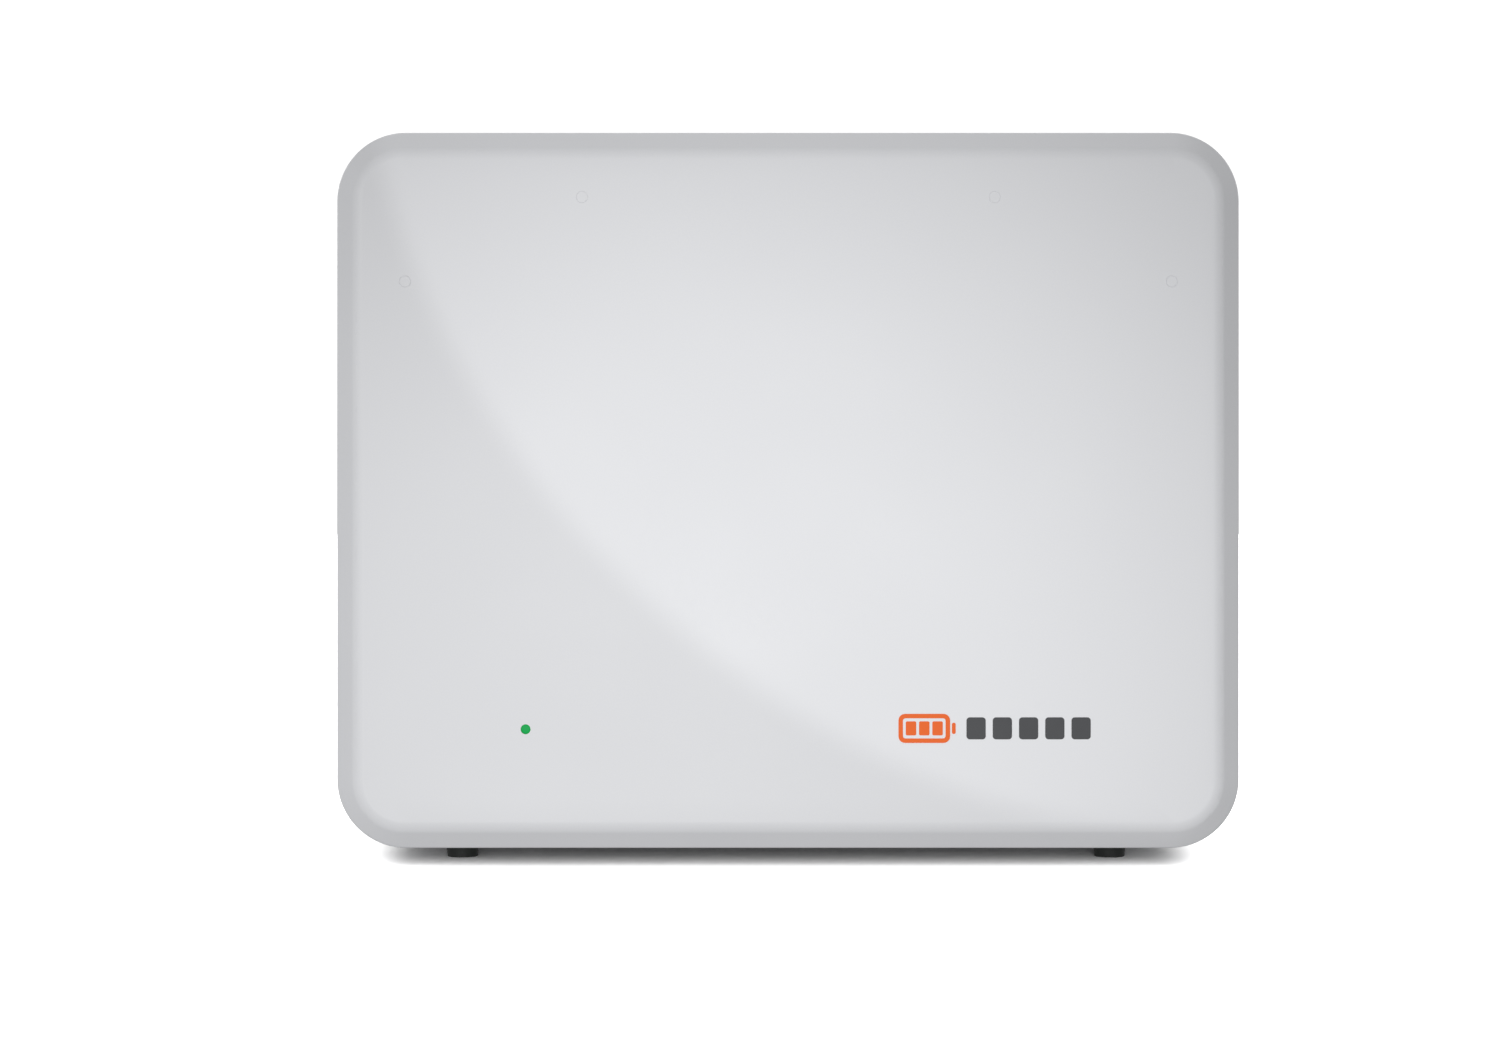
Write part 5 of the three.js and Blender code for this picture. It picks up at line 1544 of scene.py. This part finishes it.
# %% Route the leads
CELL_Z = cell_middle.z
SWITCH_FACE = block_x + 0.3
GLAND_Y, GLAND_Z = 81.7, 107.6
SOCKET_BACK, IN_Z, OUT_Z = 155.7, 44, 88
lead(
    "positive_cable", "positive_lead",
    [(33, -61.3, CELL_Z - 17), (33, -61.5, 112), (33, -58, 96), (32, -52, 74), (30, -43, 50), (30, -34, 34),
     (30, -27, 27), (30, -20.3, 27)], 3, red_pvc, "red_sleeve",
)
lead(
    "fuse_cable", "fuse_lead",
    [(30, 20.3, 27), (30, 28, 27), (24, 38, 31), (6, 45, 40), (-35, 51, 57), (-90, 56, 69), (-126, 58, 72),
     (SWITCH_FACE, 58, 72)], 3, red_pvc, "red_sleeve",
)
lead(
    "negative_cable", "negative_lead",
    [(-33, -61.3, CELL_Z - 17), (-33, -61.5, 112), (-25, -52, 92), (-20, -22, 76), (-27, 10, 66), (-52, 38, 58),
     (-90, 54, 54), (-126, 58, 52), (SWITCH_FACE, 58, 52)], 3, black_pvc, "black_sleeve",
)
lead(
    "inverter_dc_cable", "inverter_dc_lead",
    [(-50, GLAND_Y, GLAND_Z), (-50, GLAND_Y, 98), (-58, 80, 86), (-86, 79, 73), (-120, 81, 63), (SWITCH_FACE, 82, 62)],
    3.5, red_pvc, "red_sleeve",
)
lead(
    "inverter_ac_cable", "inverter_ac_lead",
    [(50, GLAND_Y, GLAND_Z), (50, GLAND_Y, 98), (58, 80, 84), (90, 77, 62), (130, 74, 46), (148, 73.6, IN_Z),
     (SOCKET_BACK, 73.6, IN_Z)], 3.2, black_pvc, "black_sleeve",
)
lead(
    "coupling_cable", "coupling_lead",
    [(SOCKET_BACK, 66.4, IN_Z), (148, 66.4, IN_Z), (138, 65.4, IN_Z + 6), (134, 64.4, (IN_Z + OUT_Z) / 2),
     (138, 65.4, OUT_Z - 6), (148, 66.4, OUT_Z), (SOCKET_BACK, 66.4, OUT_Z)], 3.2, black_pvc, "black_sleeve",
)
lead(
    "sense_cable", "sense_harness",
    [(-120, -57.3, 90), (-120, -60, 90), (-121, -63.5, 94), (-112, -64.5, 108), (-88, -64.5, 122), (-88, -64.5, 160),
     (-88, -64.5, 205), (-88, -64.5, 250), (-86, -64.5, 280)], 1.8, grey_pvc, "grey_case",
)

# %% Tap every cell
HARNESS_X, HARNESS_Y, TAB_FACE = 88, -64.5, BAR_BACK - BAR_THICK
branch = strand(
    "sense_branch",
    [(-86, HARNESS_Y, 278), (-84, HARNESS_Y, 282), (-74, HARNESS_Y, 288), (-50, HARNESS_Y, 290), (0, HARNESS_Y, 290),
     (50, HARNESS_Y, 290), (74, HARNESS_Y, 287), (86, HARNESS_Y, 276), (HARNESS_X, HARNESS_Y, 250),
     (HARNESS_X, HARNESS_Y, 200), (HARNESS_X, HARNESS_Y, 147)], 1.4,
)
taps, tabs = [branch], []


def tap(*route):
    """A thin wire that ends on a round tab."""
    taps.append(strand("tap", route, 0.7))
    x, _, z = route[-1]
    tabs.append(
        turned("tab", "y", (x, 0, z), [(TAB_FACE + 0.1, 2.5), (TAB_FACE - 0.9, 2.5), (TAB_FACE - 1.2, 2)], sides=20)
    )


cross_low, cross_high = node_box("busbar_4")
cross_z = (cross_low.z + cross_high.z) / 2
tap((-32, HARNESS_Y, 290), (-18, HARNESS_Y, 288.6), (-12, HARNESS_Y + 0.4, 284), (-12, TAB_FACE - 0.5, cross_z))
tap_spots = [(x, CELL_Z) for x in (-33, 33)]
for i in (1, 2, 3, 5, 6, 7):
    low, high = node_box(f"busbar_{i}")
    middle = (low + high) / 2
    tap_spots.append((middle.x, middle.z + 10))
for x, z in tap_spots:
    side = 1 if x > 0 else -1
    root = side * HARNESS_X
    way = 1 if x > root else -1
    tap(
        (root, HARNESS_Y, z + side * 9), (root + way * 2, HARNESS_Y, z + side * 2.5), (root + way * 8, HARNESS_Y, z),
        (x - way * 10, TAB_FACE - 1.5, z), (x, TAB_FACE - 0.5, z),
    )
gather("sense_taps", taps, grey_pvc, "grey_case", 40)
gather("sense_tabs", tabs, zinc_plate, "zinc_steel")

# %% Crimp the cable lugs
lugs = []
for x in (33, -33):
    tongue = plate("lug", (x - 8.9, x + 8.9), (CELL_Z - 8.9, CELL_Z + 8.9), (BAR_BACK - BAR_THICK, BAR_BACK), (8.8, 8.8), segments=12)
    neck = start("neck", (x - 4, BAR_BACK - BAR_THICK, CELL_Z - 14), (x + 4, BAR_BACK, CELL_Z - 4))
    barrel = turned("barrel", "z", (x, -61.3, 0), [(CELL_Z - 24, 3.7), (CELL_Z - 23.5, 4), (CELL_Z - 13, 4), (CELL_Z - 11, 2)], sides=32)
    lugs += [join_solids(tongue, neck), barrel]
gather("cable_lugs", lugs, rolled_copper, "copper_bar")
bolts = [terminal_bolt(x, CELL_Z, -65.7) for x in (33, -33)]
gather("cable_lug_bolts", bolts, zinc_plate, "zinc_steel", 30)
print("leads done")

# %% [markdown]
# ## The stage
# A white floor without an edge lies under a white world. It sends no light back to the unit, so that
# the lamps alone shape it, and a small sheet hidden below keeps the space between unit and floor dark.

# %% Floor and world
bpy.ops.object.select_all(action="DESELECT")
bpy.ops.mesh.primitive_plane_add(size=80, location=(0, 0, 0))
floor = bpy.context.object
floor.name = "floor"
paper = grained("white_paper", "F4F4F4", "F8F8F8", grain=4, rough=(0.85, 0.95), bump=0.01, patch=400)
floor.data.materials.append(paper)
floor.visible_diffuse = False
floor.visible_glossy = False
floor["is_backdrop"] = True

bpy.ops.object.select_all(action="DESELECT")
bpy.ops.mesh.primitive_plane_add(size=1, location=(0, 0.01, -2 * MM))
under_sheet = bpy.context.object
under_sheet.name = "under_sheet"
under_sheet.scale = (0.38, 0.2, 1)
apply_place(under_sheet)
under_sheet.data.materials.append(paper)
under_sheet.visible_camera = False
under_sheet.visible_glossy = False
under_sheet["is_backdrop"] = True

world = bpy.data.worlds.new("studio")
bpy.context.scene.world = world
world.use_nodes = True
sky = world.node_tree
backdrop = sky.nodes["Background"]
backdrop.inputs["Color"].default_value = (1, 1, 1, 1)
ray = add_node(sky, "LightPath")
level = add_node(
    sky, "MapRange", {"Value": ray.outputs["Is Camera Ray"], "To Min": 0.36, "To Max": 1.1}
)
sky.links.new(level.outputs["Result"], backdrop.inputs["Strength"])
bpy.context.scene.view_settings.view_transform = "Standard"

# %% [markdown]
# The face is lit by a soft box at the left and by three round lamps two metres in front. Two of those
# fade softly from the face's low middle to its corners. The third has a crisp rim, which draws the
# broad arc of light across the gloss. Three boxes behind the unit are for its back, sides and top.


# %% Lamps
def aim(lamp, target):
    way = Vector(target) - lamp.location
    lamp.rotation_euler = way.to_track_quat("-Z", "Y").to_euler()


def hang(name, data, spot, target):
    lamp = bpy.data.objects.new(name, data)
    lamp.location = spot
    aim(lamp, target)
    bpy.context.scene.collection.objects.link(lamp)
    return lamp


def softbox(name, spot, target, size, power):
    data = bpy.data.lights.new(name, "AREA")
    data.shape = "RECTANGLE"
    data.size, data.size_y = size
    data.energy = power
    return hang(name, data, spot, target)


LAMP_REACH = 2.0


def round_lamp(name, x, z, radius, blend, power, size=0.02):
    """A lamp straight in front of the face, whose round pool of light has this centre and radius."""
    data = bpy.data.lights.new(name, "SPOT")
    data.spot_size = 2 * math.atan(radius / LAMP_REACH)
    data.spot_blend = blend
    data.shadow_soft_size = size
    data.energy = power
    face = cover_low.y + CROWN * MM
    return hang(name, data, (x, face - LAMP_REACH, z), (x, face, z))


middle = (0, 0, 0.165)
softbox("left_front_box", (-1.6, -3.0, 0.6), middle, (1.6, 1.6), 30)
round_lamp("low_pool", 0.0, 0.06, 0.36, 1.0, 32)
round_lamp("wide_pool", -0.12, 0.03, 0.43, 1.0, 21.5)
round_lamp("arc_pool", 0.2045, 0.4067, 0.3965, 0.04, 15.7, size=0.007)
softbox("left_rear_box", (-2.2, 2.2, 1.2), middle, (1.6, 1.6), 20)
softbox("right_rear_box", (2.2, 2.2, 1.2), middle, (1.6, 1.6), 20)
softbox("top_rear_box", (0, 1.6, 2.4), middle, (2.0, 1.2), 18)


# %% [markdown]
# The floor has two suns of its own. The high one is broad and keeps the whole floor white but for a
# close shadow. The low one shines in under the front edge, so that the shadow there fades towards the
# eye. The lamps above skip the floor.

# %% Light the floor by itself
floor_alone = bpy.data.collections.new("floor_alone")
floor_alone.objects.link(floor)
all_but_floor = bpy.data.collections.new("all_but_floor")
all_but_floor.objects.link(floor)
all_but_floor.collection_objects[0].light_linking.link_state = "EXCLUDE"
for lamp in [thing for thing in bpy.data.objects if thing.type == "LIGHT"]:
    lamp.light_linking.receiver_collection = all_but_floor


def floor_sun(name, elevation, spread, power):
    data = bpy.data.lights.new(name, "SUN")
    data.energy = power
    data.angle = math.radians(spread)
    height = math.radians(elevation)
    lamp = hang(name, data, (0, -5 * math.cos(height), 5 * math.sin(height)), (0, 0, 0))
    lamp.light_linking.receiver_collection = floor_alone
    return lamp


floor_sun("high_sun", 62, 70, 4.4)
floor_sun("low_sun", 11.5, 13, 17)

# %% Take the bounds of all that renders
low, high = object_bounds()
